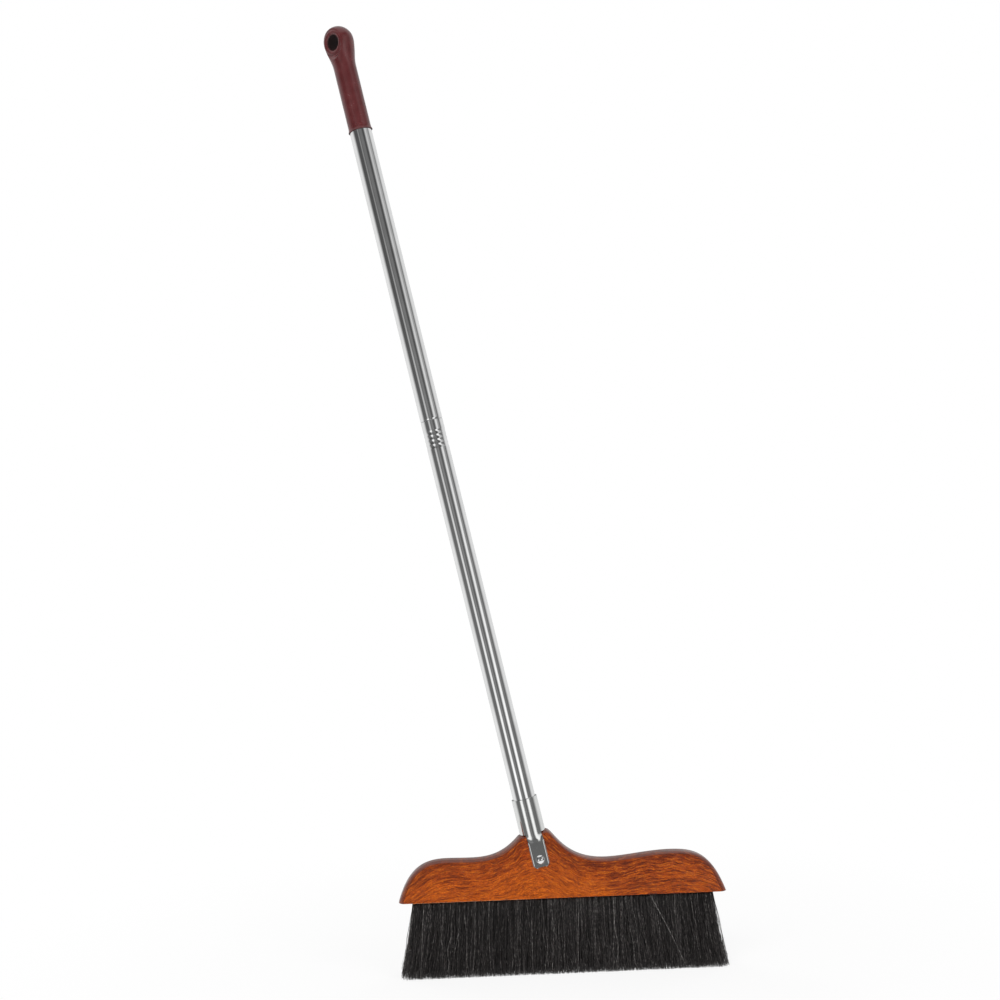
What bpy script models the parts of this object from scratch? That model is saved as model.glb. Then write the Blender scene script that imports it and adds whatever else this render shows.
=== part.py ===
"""Soft bristle broom: a wooden head with rows of bristles, a riveted strap socket and a two-part handle.

Lengths are in metres. +Z is up, X runs along the head and +Y points away from whoever faces the front.
The origin is the middle of the sweeping face, the flat that the bristle tips make on the floor.
"""

import math
import random

import bmesh
import bpy
from mathutils import Vector

# Clearances
SEAT_GAP = 0.0003  # between pieces that touch on the real broom
RUNNING_GAP = 0.0003  # round the screwed joint
OVERRUN = 0.004  # how far a cutter passes the face that it cuts
FUSE_DEPTH = 0.0015  # how far two shapes of one piece run into each other

# Bristles
BRISTLE_LENGTH = 0.071
ROW_COUNT = 5
STRAND_WIDTH = 0.0027
STRAND_GAP = 0.00106
TIP_WIDTH = 0.0021
BACKING_MARGIN = 0.00025  # backing on each side of a strand, across the rows
BACKING_HEIGHT = 0.005
BACKING_END = 0.002  # backing past the last strand of a row
TIP_SPREAD_LENGTH = 0.0125  # how far the field's ends splay outwards at the floor
TIP_SPREAD_DEPTH = 0.0095  # how far its front and back splay outwards
TIP_RAGGED = 0.0014
STRAND_WANDER = 0.0005

# Wooden head
HEAD_LENGTH = 0.322
RECESS_WALL = 0.0016
FIELD_END_MARGIN = 0.0145
LEFT_SHOULDER_HEIGHT = 0.0395
LEFT_SHOULDER_INSET = 0.0486  # from the head's end to the top of its shoulder
RIGHT_SHOULDER_HEIGHT = 0.0401
RIGHT_SHOULDER_INSET = 0.0535
VALLEY_HEIGHT = 0.0351
VALLEY_REACH = 0.0428  # from the head's middle to the dip right of the hump
HUMP_HEIGHT = 0.0629
HUMP_OFFSET = 0.0283  # from the head's middle to the handle's axis, to the left
HUMP_WIDTH = 0.0278  # of the cut, before its corners are rounded
HUMP_CORNER_RADIUS = 0.0055
HEAD_EDGE_RADIUS = 0.0040
HANDLE_LEAN = math.radians(12.25)

# Strap socket and its rivet
TUBE_DIAMETER = 0.022
SLEEVE_WALL = 0.0013
SLEEVE_LENGTH = 0.0345
SLEEVE_CHAMFER = 0.0003
STRAP_THICKNESS = 0.0011
STRAP_WIDTH = 0.0156
STRAP_LENGTH = 0.0329
STRAP_FLATTEN_LENGTH = 0.0125
STRAP_CORNER_RADIUS = 0.003
STRAP_ROOT = 0.005  # how far each strap reaches up inside the sleeve's wall
RELIEF_FADE = 6  # power of the fade of the wood's relief towards the flat end of a strap's round top
RIVET_DROP = 0.0256
RIVET_SHANK_DIAMETER = 0.005
RIVET_HEAD_DIAMETER = 0.0087
RIVET_HEAD_HEIGHT = 0.0023

# Tubes
TUBE_WALL = 0.0008
TUBE_CHAMFER = 0.0003
LOWER_TUBE_REACH = 0.4180  # from the head to the seam
UPPER_TUBE_SHOWN = 0.2993  # from the seam to the grip's rim
TUBE_IN_GRIP = 0.060
TUBE_STEP = 0.0007  # how much the upper tube is drawn in under the grip
TUBE_STEP_LENGTH = 0.0017
GROOVE_COUNT = 4
GROOVE_PITCH = 0.00463
GROOVE_WIDTH = 0.0030
GROOVE_DEPTH = 0.0006
SEAM_TO_GROOVE = 0.0116

# Screwed joint inside the tubes
SOCKET_LENGTH = 0.034
STEM_DIAMETER = 0.012
STEM_LENGTH = 0.028
STEM_CHAMFER = 0.001
PLUG_LENGTH = 0.026
THREAD_PITCH = 0.004
THREAD_HEIGHT = 0.0006
THREAD_RADIUS = 0.0011
THREAD_START = 0.004  # from the seam to the thread's first turn
THREAD_TURNS = 5

# Grip
GRIP_LENGTH = 0.1092
GRIP_BARREL_DIAMETER = 0.0228
GRIP_BULB_DIAMETER = 0.0308
GRIP_NECK_LENGTH = 0.027  # from the bulb's middle down to the straight barrel
GRIP_LIP_DIAMETER = 0.0246
GRIP_LIP_HEIGHT = 0.0042
GRIP_LIP_THICKNESS = 0.0006
HANG_HOLE_DIAMETER = 0.0145
HANG_HOLE_DROP = 0.004  # from the bulb's middle down to the hole's
HANG_HOLE_FLARE_RADIUS = 0.0045
HANG_HOLE_STRAIGHT = 0.0165
HANG_HOLE_TURN = math.radians(40)  # how far the upper handle has turned to the left at its stop

# The head's outline: the lengths of each span's start and end handles, and its slopes at the ends and hump
LEFT_END_HANDLE_SHARES = (0.92, 0.44)  # of the shoulder's height and inset
RIGHT_END_HANDLE_SHARES = (0.94, 0.50)
LEFT_NECK_HANDLE_SHARES = (0.41, 0.46)  # of the span's width
RIGHT_NECK_HANDLE_SHARES = (0.15, 0.68)
BACK_HANDLE_SHARES = (0.31, 0.36)
LEFT_END_SLOPE = math.radians(73.3)
RIGHT_END_SLOPE = math.radians(69.5)
LEFT_NECK_SLOPE = math.radians(47.3)
RIGHT_NECK_SLOPE = math.radians(-32.9)
OUTLINE_STEPS = 8

# Shares of a groove's width where its floor starts and ends
GROOVE_FLOOR_SHARES = (0.22, -0.22)
# Where a strand bends, as a share of its length, and how much of its splay it has there
BEND_SHARE = 0.5
BEND_SPLAY_SHARE = 0.42
# How much of the turn that the hanging hole's flare could make before it leaves the bulb it does make
FLARE_TURN_SHARE = 0.72

# Smoothness
TURN_STEPS = 28
SLEEVE_STEPS = 48
GRIP_STEPS = 36
HOLE_STEPS = 24
RIVET_STEPS = 20
DOME_STEPS = 5
BULB_STEPS = 9
NECK_STEPS = 8
FLARE_STEPS = 4
STRAP_COLUMNS = 8
STRAP_ROWS = 9
CORNER_STEPS = 4
THREAD_STEPS = 14  # points in one turn
STRAND_SIDES = 3
EDGE_SEGMENTS = 2
WELD_DISTANCE = 0.00001
ROUNDED_EDGE_ANGLE = math.radians(75)
SAME_PLANE_ANGLE = math.radians(0.1)
SEED = 7

# What follows from the sizes above
BACKING_DEPTH = STRAND_WIDTH + 2 * BACKING_MARGIN
ROW_PITCH = BACKING_DEPTH + SEAT_GAP
FIELD_DEPTH = ROW_COUNT * ROW_PITCH + SEAT_GAP
HEAD_THICKNESS = FIELD_DEPTH + 2 * RECESS_WALL
STRAND_PITCH = STRAND_WIDTH + STRAND_GAP
FIELD_LENGTH = HEAD_LENGTH - 2 * FIELD_END_MARGIN
WOOD_BOTTOM = BRISTLE_LENGTH
HUMP_TOP = Vector((-HUMP_OFFSET, 0, WOOD_BOTTOM + HUMP_HEIGHT))
TUBE_RADIUS = TUBE_DIAMETER / 2
TUBE_BORE_RADIUS = TUBE_RADIUS - TUBE_WALL
SLEEVE_BORE_RADIUS = TUBE_RADIUS + SEAT_GAP
SLEEVE_RADIUS = SLEEVE_BORE_RADIUS + SLEEVE_WALL
STRAP_RADIUS = SLEEVE_BORE_RADIUS + SLEEVE_WALL / 2
STRAP_FLAT_OFFSET = HEAD_THICKNESS / 2 + SEAT_GAP + STRAP_THICKNESS / 2
STEM_RADIUS = STEM_DIAMETER / 2
INSERT_RADIUS = TUBE_BORE_RADIUS - SEAT_GAP
SOCKET_BORE_RADIUS = STEM_RADIUS + THREAD_HEIGHT + RUNNING_GAP
SEAM = LOWER_TUBE_REACH
GRIP_RIM = SEAM + UPPER_TUBE_SHOWN
GRIP_TOP = GRIP_RIM + GRIP_LENGTH
BULB_RADIUS = GRIP_BULB_DIAMETER / 2
BULB_MIDDLE = GRIP_TOP - BULB_RADIUS


def clear_scene():
    for obj in list(bpy.data.objects):
        bpy.data.objects.remove(obj)


def new_collection(name):
    group = bpy.data.collections.new(name)
    bpy.context.scene.collection.children.link(group)
    return group


def material(name, colour, roughness, metallic=0.0):
    """A Principled material of one plain colour."""
    made = bpy.data.materials.new(name)
    made.use_nodes = True
    shader = made.node_tree.nodes["Principled BSDF"]
    shader.inputs["Base Color"].default_value = (*colour, 1)
    shader.inputs["Roughness"].default_value = roughness
    shader.inputs["Metallic"].default_value = metallic
    made.diffuse_color = (*colour, 1)
    return made


def place(obj, group, parent=None):
    """Links an object to a collection and hangs it on a parent, whose space its own numbers are in."""
    group.objects.link(obj)
    obj.parent = parent
    return obj


def finish_piece(obj, look):
    """Gives a piece its material."""
    obj.data.materials.clear()
    obj.data.materials.append(look)
    return obj


def as_helper(obj):
    """Keeps a cutter or a joined shape out of renders."""
    obj.hide_render = True
    obj.display_type = "WIRE"
    return obj


def boolean(obj, other, operation):
    modifier = obj.modifiers.new(f"{operation.lower()} {other.name}", "BOOLEAN")
    modifier.operation = operation
    modifier.object = other


def mesh_object(name, bm):
    mesh = bpy.data.meshes.new(name)
    bm.to_mesh(mesh)
    bm.free()
    return bpy.data.objects.new(name, mesh)


def box(name, low, high):
    bm = bmesh.new()
    bmesh.ops.create_cube(bm, size=1)
    middle, size = (Vector(low) + Vector(high)) / 2, Vector(high) - Vector(low)
    for vertex in bm.verts:
        vertex.co = middle + Vector(a * b for a, b in zip(vertex.co, size))
    return mesh_object(name, bm)


def turned(name, profile, steps, closed=False):
    """A shape turned about Z from (radius, height) points that run down its outer side."""
    edges = [(i, i + 1) for i in range(len(profile) - 1)]
    if closed:
        edges.append((len(profile) - 1, 0))
    mesh = bpy.data.meshes.new(name)
    mesh.from_pydata([(radius, 0, height) for radius, height in profile], edges, [])
    obj = bpy.data.objects.new(name, mesh)
    screw = obj.modifiers.new("turn", "SCREW")
    screw.steps = screw.render_steps = steps
    screw.use_merge_vertices = True
    screw.merge_threshold = WELD_DISTANCE
    screw.use_smooth_shade = True
    return obj


def mesh_from_curve(curve):
    """The curve object's solid as a mesh object with welded caps and one face for each flat side."""
    bpy.context.view_layer.update()
    graph = bpy.context.evaluated_depsgraph_get()
    mesh = bpy.data.meshes.new_from_object(curve.evaluated_get(graph))
    obj = bpy.data.objects.new(curve.name, mesh)
    obj.matrix_world = curve.matrix_world.copy()
    bm = bmesh.new()
    bm.from_mesh(mesh)
    bmesh.ops.remove_doubles(bm, verts=bm.verts, dist=WELD_DISTANCE)
    bmesh.ops.dissolve_limit(bm, angle_limit=SAME_PLANE_ANGLE, verts=bm.verts, edges=bm.edges)
    bmesh.ops.recalc_face_normals(bm, faces=bm.faces)
    bm.to_mesh(mesh)
    bm.free()
    bpy.data.objects.remove(curve)
    return obj


def bezier_outline(points):
    """A closed flat curve from (place, handle before, handle after) triples."""
    data = bpy.data.curves.new("outline", "CURVE")
    data.dimensions = "2D"
    data.fill_mode = "BOTH"
    data.resolution_u = OUTLINE_STEPS
    spline = data.splines.new("BEZIER")
    spline.bezier_points.add(len(points) - 1)
    spline.use_cyclic_u = True
    for point, (place_at, before, after) in zip(spline.bezier_points, points):
        point.handle_left_type = point.handle_right_type = "FREE"
        point.co = (*place_at, 0)
        point.handle_left = (*before, 0)
        point.handle_right = (*after, 0)
    return data


def along(start, length, slope):
    """The point this far from start at this slope, in the head's plane."""
    return (start[0] + length * math.cos(slope), start[1] + length * math.sin(slope))


def end_span(side, height, inset, slope, shares):
    """An end of the head: its foot's corner and its shoulder. side is -1 at the left and 1 at the right."""
    half = HEAD_LENGTH / 2
    foot, shoulder = (side * half, WOOD_BOTTOM), (side * (half - inset), WOOD_BOTTOM + height)
    low = (foot[0] - side * shares[0] * height * math.cos(slope), foot[1] + shares[0] * height * math.sin(slope))
    return foot, low, (shoulder[0] + side * shares[1] * inset, shoulder[1]), shoulder


def corner_arc(corner, radius, slope_in, slope_out):
    """The start and end of a rounded corner, with the handles that curve the span between them."""
    turn = abs(slope_out - slope_in)
    cut, reach = radius * math.tan(turn / 2), radius * math.tan(turn / 4) * 4 / 3
    start, end = along(corner, -cut, slope_in), along(corner, cut, slope_out)
    return start, along(start, reach, slope_in), along(end, -reach, slope_out), end


def head_outline():
    """The head seen from the front: rounded ends, two shoulders and a hump cut square to the handle."""
    left_foot, left_low, left_in, left_top = end_span(
        -1, LEFT_SHOULDER_HEIGHT, LEFT_SHOULDER_INSET, LEFT_END_SLOPE, LEFT_END_HANDLE_SHARES
    )
    right_foot, right_low, right_in, right_top = end_span(
        1, RIGHT_SHOULDER_HEIGHT, RIGHT_SHOULDER_INSET, RIGHT_END_SLOPE, RIGHT_END_HANDLE_SHARES
    )
    hump = (HUMP_TOP.x, HUMP_TOP.z)
    left_corner = along(hump, -HUMP_WIDTH / 2, HANDLE_LEAN)
    right_corner = along(hump, HUMP_WIDTH / 2, HANDLE_LEAN)
    neck_end, left_turn, left_level, cut_start = corner_arc(
        left_corner, HUMP_CORNER_RADIUS, LEFT_NECK_SLOPE, HANDLE_LEAN
    )
    cut_end, right_level, right_turn, slope_start = corner_arc(
        right_corner, HUMP_CORNER_RADIUS, HANDLE_LEAN, RIGHT_NECK_SLOPE
    )
    valley = (VALLEY_REACH, WOOD_BOTTOM + VALLEY_HEIGHT)
    left_span, right_span = neck_end[0] - left_top[0], valley[0] - slope_start[0]
    back_span = right_top[0] - valley[0]
    left_shares, right_shares = LEFT_NECK_HANDLE_SHARES, RIGHT_NECK_HANDLE_SHARES
    left_sole, right_sole = (left_foot[0], WOOD_BOTTOM - OVERRUN), (right_foot[0], WOOD_BOTTOM - OVERRUN)
    return [
        (left_sole, left_sole, left_sole),
        (left_foot, left_foot, left_low),
        (left_top, left_in, along(left_top, left_shares[0] * left_span, 0)),
        (neck_end, along(neck_end, -left_shares[1] * left_span, LEFT_NECK_SLOPE), left_turn),
        (cut_start, left_level, cut_start),
        (cut_end, cut_end, right_level),
        (slope_start, right_turn, along(slope_start, right_shares[0] * right_span, RIGHT_NECK_SLOPE)),
        (
            valley,
            along(valley, -right_shares[1] * right_span, 0),
            along(valley, BACK_HANDLE_SHARES[0] * back_span, 0),
        ),
        (right_top, along(right_top, -BACK_HANDLE_SHARES[1] * back_span, 0), right_in),
        (right_foot, right_low, right_foot),
        (right_sole, right_sole, right_sole),
    ]


def strap_half_width(drop, spare=0.0):
    """Half the strap's width at a place this far below the sleeve, with its lower corners rounded."""
    into_corner = drop - (STRAP_LENGTH - STRAP_CORNER_RADIUS)
    half = STRAP_WIDTH / 2 + spare
    if into_corner <= 0:
        return half
    radius = STRAP_CORNER_RADIUS
    return half - radius + math.sqrt(max(radius**2 - into_corner**2, 0))


def strap_point(across, drop, inward, relief):
    """A point of the front strap's middle surface: round like the sleeve at the top, flat on the wood below.

    inward moves it towards the wood, and relief moves it further until the strap is nearly flat.
    """
    flat = min(max(drop / STRAP_FLATTEN_LENGTH, 0), 1)
    flat = flat * flat * (3 - 2 * flat)
    offset = STRAP_RADIUS * (1 - flat) + STRAP_FLAT_OFFSET * flat
    if flat < 1:
        radius = STRAP_RADIUS / (1 - flat)
        across, sag = radius * math.sin(across / radius), radius * (1 - math.cos(across / radius))
    else:
        sag = 0
    return Vector((across, -(offset - sag) + inward + relief * (1 - flat**RELIEF_FADE), -drop))


def strap_drops(bottom):
    """How far below the sleeve the strap's cross rows lie: even ones, then closer ones round the corners."""
    straight = bottom - STRAP_CORNER_RADIUS
    rows = [-STRAP_ROOT + (straight + STRAP_ROOT) * i / STRAP_ROWS for i in range(STRAP_ROWS + 1)]
    turns = [math.pi / 2 * (i + 1) / CORNER_STEPS for i in range(CORNER_STEPS)]
    return rows + [straight + STRAP_CORNER_RADIUS * math.sin(turn) for turn in turns]


def strap_sheet(drops, spare=0.0, inward=0.0, relief=0.0):
    """The front strap's surface as a grid, in the handle's own space."""
    bm = bmesh.new()
    bmesh.ops.create_grid(bm, x_segments=STRAP_COLUMNS, y_segments=len(drops) - 1, size=1)
    for vertex in bm.verts:
        row = round((1 - vertex.co.y) / 2 * (len(drops) - 1))
        across = vertex.co.x * strap_half_width(drops[row], spare)
        vertex.co = strap_point(across, drops[row], inward, relief)
    return bm


def strap(name, side):
    """One strap of the socket. side is 1 in front and -1 behind."""
    bm = strap_sheet(strap_drops(STRAP_LENGTH))
    turn_to_side(bm, side)
    obj = mesh_object(name, bm)
    solid = obj.modifiers.new("thickness", "SOLIDIFY")
    solid.thickness = STRAP_THICKNESS
    solid.offset = 0
    return obj


def turn_to_side(bm, side):
    """Turns a front shape half round the handle's axis where it belongs behind."""
    for vertex in bm.verts:
        vertex.co = Vector((vertex.co.x * side, vertex.co.y * side, vertex.co.z))


def strap_relief(name, side):
    """What the wood loses under the round top of a strap."""
    reach = STRAP_FLATTEN_LENGTH
    drops = [-OVERRUN + (reach + OVERRUN) * i / STRAP_ROWS for i in range(STRAP_ROWS + 1)]
    bm = strap_sheet(drops, SEAT_GAP, STRAP_THICKNESS / 2, SEAT_GAP)
    turn_to_side(bm, side)
    outward = bmesh.ops.extrude_face_region(bm, geom=bm.faces[:])
    moved = [item for item in outward["geom"] if isinstance(item, bmesh.types.BMVert)]
    bmesh.ops.translate(bm, verts=moved, vec=(0, -side * (OVERRUN + STRAP_RADIUS - STRAP_FLAT_OFFSET), 0))
    bmesh.ops.recalc_face_normals(bm, faces=bm.faces)
    return mesh_object(name, bm)


def rivet_profile():
    """Half of the rivet from its domed front head to its domed back head."""
    seat = STRAP_FLAT_OFFSET + STRAP_THICKNESS / 2 + SEAT_GAP
    shank, head = RIVET_SHANK_DIAMETER / 2, RIVET_HEAD_DIAMETER / 2
    turns = [math.pi / 2 * i / DOME_STEPS for i in range(DOME_STEPS + 1)]
    dome = [(head * math.sin(turn), seat + RIVET_HEAD_HEIGHT * math.cos(turn)) for turn in turns]
    front = dome + [(shank, seat)]
    return front + [(radius, -height) for radius, height in reversed(front)]


def groove_places():
    """Heights of the rolled grooves, from the top one down."""
    return [SEAM - SEAM_TO_GROOVE - i * GROOVE_PITCH for i in range(GROOVE_COUNT)]


def grooved_side(radius):
    """The points of a wall that the rolled grooves dip into, from the top one down."""
    points = []
    for middle in groove_places():
        points += [(radius, middle + GROOVE_WIDTH / 2)]
        points += [(radius - GROOVE_DEPTH, middle + GROOVE_WIDTH * share) for share in GROOVE_FLOOR_SHARES]
        points += [(radius, middle - GROOVE_WIDTH / 2)]
    return points


def lower_tube_profile():
    top, bottom = SEAM - SEAT_GAP / 2, SEAT_GAP
    outer = [(TUBE_RADIUS - TUBE_CHAMFER, top), (TUBE_RADIUS, top - TUBE_CHAMFER), *grooved_side(TUBE_RADIUS)]
    inner = [(TUBE_BORE_RADIUS, bottom), *reversed(grooved_side(TUBE_BORE_RADIUS)), (TUBE_BORE_RADIUS, top)]
    return outer + [(TUBE_RADIUS, bottom)] + inner


def socket_profile():
    top = SEAM - SEAT_GAP / 2
    bottom = SEAM - SOCKET_LENGTH
    outer = [(INSERT_RADIUS, top), *grooved_side(INSERT_RADIUS), (INSERT_RADIUS, bottom)]
    return outer + [(SOCKET_BORE_RADIUS, bottom), (SOCKET_BORE_RADIUS, top)]


def upper_tube_profile():
    """Full width up to the grip's rim, then drawn in a little so that the grip lies nearly flush."""
    top, bottom = GRIP_RIM + TUBE_IN_GRIP, SEAM + SEAT_GAP / 2
    step = GRIP_RIM + SEAT_GAP
    slim, bore = TUBE_RADIUS - TUBE_STEP, TUBE_BORE_RADIUS - TUBE_STEP
    outer = [(slim, top), (slim, step + TUBE_STEP_LENGTH), (TUBE_RADIUS, step)]
    outer += [(TUBE_RADIUS, bottom + TUBE_CHAMFER), (TUBE_RADIUS - TUBE_CHAMFER, bottom)]
    inner = [(TUBE_BORE_RADIUS, bottom), (TUBE_BORE_RADIUS, step)]
    inner += [(bore, step + TUBE_STEP_LENGTH), (bore, top)]
    return outer + inner


def spigot_profile():
    """A plug held in the upper tube and the screwed stem below it."""
    top, seam, bottom = SEAM + PLUG_LENGTH, SEAM + SEAT_GAP / 2, SEAM - STEM_LENGTH
    plug = [(0, top), (INSERT_RADIUS, top), (INSERT_RADIUS, seam), (STEM_RADIUS, seam)]
    return plug + [(STEM_RADIUS, bottom + STEM_CHAMFER), (STEM_RADIUS - STEM_CHAMFER, bottom), (0, bottom)]


def thread_helix():
    """A round-crested right-hand thread, as one wire wound on the stem."""
    count = THREAD_TURNS * THREAD_STEPS + 1
    wind = STEM_RADIUS + THREAD_HEIGHT - THREAD_RADIUS
    data = bpy.data.curves.new("thread", "CURVE")
    data.dimensions = "3D"
    data.bevel_depth = THREAD_RADIUS
    data.bevel_resolution = 1
    data.use_fill_caps = True
    spline = data.splines.new("POLY")
    spline.points.add(count - 1)
    for i, point in enumerate(spline.points):
        turn = 2 * math.pi * i / THREAD_STEPS
        height = SEAM - THREAD_START - THREAD_TURNS * THREAD_PITCH + THREAD_PITCH * i / THREAD_STEPS
        point.co = (wind * math.cos(turn), wind * math.sin(turn), height, 1)
    return data


def grip_profile():
    """The grip's outer side from its round end to its flared rim, then its bore back up to the tube's end."""
    barrel, lip = GRIP_BARREL_DIAMETER / 2, GRIP_LIP_DIAMETER / 2
    turns = [math.pi / 2 * i / BULB_STEPS for i in range(BULB_STEPS + 1)]
    outer = [(BULB_RADIUS * math.sin(turn), BULB_MIDDLE + BULB_RADIUS * math.cos(turn)) for turn in turns]
    for i in range(1, NECK_STEPS + 1):
        swell = (1 + math.cos(math.pi * i / NECK_STEPS)) / 2
        height = BULB_MIDDLE - GRIP_NECK_LENGTH * i / NECK_STEPS
        outer.append((barrel + (BULB_RADIUS - barrel) * swell, height))
    outer += [(barrel, GRIP_RIM + GRIP_LIP_HEIGHT)]
    outer += [(lip, GRIP_RIM + GRIP_LIP_THICKNESS), (lip, GRIP_RIM)]
    bore, slim = TUBE_RADIUS + SEAT_GAP, TUBE_RADIUS - TUBE_STEP + SEAT_GAP
    tube_end = GRIP_RIM + TUBE_IN_GRIP + SEAT_GAP
    step = GRIP_RIM + 2 * SEAT_GAP
    inner = [(bore, GRIP_RIM), (bore, step), (slim, step + TUBE_STEP_LENGTH), (slim, tube_end), (0, tube_end)]
    return outer + inner


def hang_hole_profile():
    """The hanging hole's cutter: straight in the middle, flaring to both sides of the bulb."""
    radius, straight, flare = HANG_HOLE_DIAMETER / 2, HANG_HOLE_STRAIGHT / 2, HANG_HOLE_FLARE_RADIUS
    reach = BULB_RADIUS - straight
    widest = math.asin(min(reach / flare, 1)) * FLARE_TURN_SHARE
    turns = [widest * i / FLARE_STEPS for i in range(1, FLARE_STEPS + 1)]
    curve = [(radius + flare * (1 - math.cos(turn)), straight + flare * math.sin(turn)) for turn in turns]
    last_radius, last_height = curve[-1]
    beyond = BULB_RADIUS + OVERRUN
    spread = last_radius + (beyond - last_height) * math.tan(widest) / 2
    upper = [(0, beyond), (spread, beyond), *reversed(curve), (radius, straight)]
    return upper + [(r, -height) for r, height in reversed(upper)]


def strand_rings(root, tip, spin, wander):
    """Three rings of one strand: in the backing, at its bend and at its flat-cut tip."""
    bend = root.lerp(tip, BEND_SHARE)
    bend.x = root.x + (tip.x - root.x) * BEND_SPLAY_SHARE + wander.x
    bend.y = root.y + (tip.y - root.y) * BEND_SPLAY_SHARE + wander.y
    inside = root + Vector((0, 0, FUSE_DEPTH))
    widths = (STRAND_WIDTH, (STRAND_WIDTH + TIP_WIDTH) / 2, TIP_WIDTH)
    rings = []
    for centre, width in zip((inside, bend, tip), widths):
        turns = [spin + 2 * math.pi * side / STRAND_SIDES for side in range(STRAND_SIDES)]
        rings.append([centre + Vector((math.cos(turn), math.sin(turn), 0)) * (width / 2) for turn in turns])
    return rings


def add_strand(bm, rings):
    """Lofts one strand through its rings and closes both ends."""
    loops = [[bm.verts.new(point) for point in ring] for ring in rings]
    for upper, lower in zip(loops, loops[1:]):
        for i in range(STRAND_SIDES):
            j = (i + 1) % STRAND_SIDES
            bm.faces.new((upper[i], lower[i], lower[j], upper[j]))
    bm.faces.new(loops[0])
    bm.faces.new(reversed(loops[-1]))


def strand_places(row):
    """Where the strands of a row leave the backing along X. Every other row is shifted by half a pitch."""
    half_count = int(FIELD_LENGTH / 2 / STRAND_PITCH)
    if row % 2:
        return [(i + 0.5) * STRAND_PITCH for i in range(-half_count, half_count)]
    return [i * STRAND_PITCH for i in range(-half_count, half_count + 1)]


def row_strands(row, chance):
    """All strands of one row as one mesh, splayed towards the floor and cut there."""
    middle_row = (ROW_COUNT - 1) / 2
    places = strand_places(row)
    row_y = (row - middle_row) * ROW_PITCH
    splay_y = (row - middle_row) / middle_row * TIP_SPREAD_DEPTH
    bm = bmesh.new()
    for x in places:
        sway = Vector((chance.uniform(-1, 1), chance.uniform(-1, 1), 0)) * STRAND_WANDER
        bow = Vector((chance.uniform(-1, 1), chance.uniform(-1, 1), 0)) * STRAND_WANDER
        spin, short = chance.uniform(0, math.tau), TIP_RAGGED * max(chance.uniform(-1, 1), 0)
        if x == 0:
            sway, short = Vector((0, 0, 0)), 0
        root = Vector((x, row_y, WOOD_BOTTOM))
        splay_x = x / (FIELD_LENGTH / 2) * TIP_SPREAD_LENGTH
        tip = Vector((x + splay_x, row_y + splay_y, short)) + sway
        add_strand(bm, strand_rings(root, tip, spin, bow))
    bmesh.ops.recalc_face_normals(bm, faces=bm.faces)
    return mesh_object(f"strands_{row}", bm)


def backing_strip(name, row):
    """The strip of wood that a row of bristles is set in."""
    row_y = (row - (ROW_COUNT - 1) / 2) * ROW_PITCH
    half = FIELD_LENGTH / 2 + BACKING_END
    low = (-half, row_y - BACKING_DEPTH / 2, WOOD_BOTTOM)
    high = (half, row_y + BACKING_DEPTH / 2, WOOD_BOTTOM + BACKING_HEIGHT)
    return box(name, low, high)


def make_bristles(parts, helpers, look):
    chance = random.Random(SEED)
    for row in range(ROW_COUNT):
        strip = finish_piece(place(backing_strip(f"bristle_row_{row + 1}", row), parts), look)
        strands = as_helper(place(row_strands(row, chance), helpers))
        boolean(strip, strands, "UNION")


def make_head(parts, helpers, look, axis):
    data = bezier_outline(head_outline())
    data.extrude = HEAD_THICKNESS / 2
    curve = place(bpy.data.objects.new("head_block", data), helpers)
    curve.rotation_euler = (math.pi / 2, 0, 0)
    head = finish_piece(place(mesh_from_curve(curve), parts), look)
    head.name = "head_block"
    rounding = head.modifiers.new("rounded edges", "BEVEL")
    rounding.width = HEAD_EDGE_RADIUS
    rounding.segments = EDGE_SEGMENTS
    rounding.limit_method = "ANGLE"
    rounding.angle_limit = ROUNDED_EDGE_ANGLE
    half, depth = HEAD_LENGTH / 2 + OVERRUN, HEAD_THICKNESS / 2 + OVERRUN
    foot = box("foot_cut", (-half, -depth, WOOD_BOTTOM - 2 * OVERRUN), (half, depth, WOOD_BOTTOM))
    reach, wide = FIELD_LENGTH / 2 + BACKING_END + SEAT_GAP, FIELD_DEPTH / 2
    top = WOOD_BOTTOM + BACKING_HEIGHT + SEAT_GAP
    recess = box("recess_cut", (-reach, -wide, WOOD_BOTTOM - OVERRUN), (reach, wide, top))
    for cutter in (foot, recess):
        boolean(head, as_helper(place(cutter, helpers)), "DIFFERENCE")
    for side in (1, -1):
        relief = strap_relief(f"strap_relief_{side}", side)
        boolean(head, as_helper(place(relief, helpers, axis)), "DIFFERENCE")
    boolean(head, rivet_hole(helpers, axis), "DIFFERENCE")


def rivet_hole(helpers, axis):
    """One long cutter for the rivet's hole through the wood and both straps."""
    if "rivet_hole_cut" in bpy.data.objects:
        return bpy.data.objects["rivet_hole_cut"]
    radius, reach = RIVET_SHANK_DIAMETER / 2 + SEAT_GAP, STRAP_FLAT_OFFSET + OVERRUN
    profile = [(0, reach), (radius, reach), (radius, -reach), (0, -reach)]
    cutter = turned("rivet_hole_cut", profile, RIVET_STEPS)
    as_helper(place(cutter, helpers, axis))
    cutter.rotation_euler = (math.pi / 2, 0, 0)
    cutter.location = (0, 0, -RIVET_DROP)
    return cutter


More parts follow.
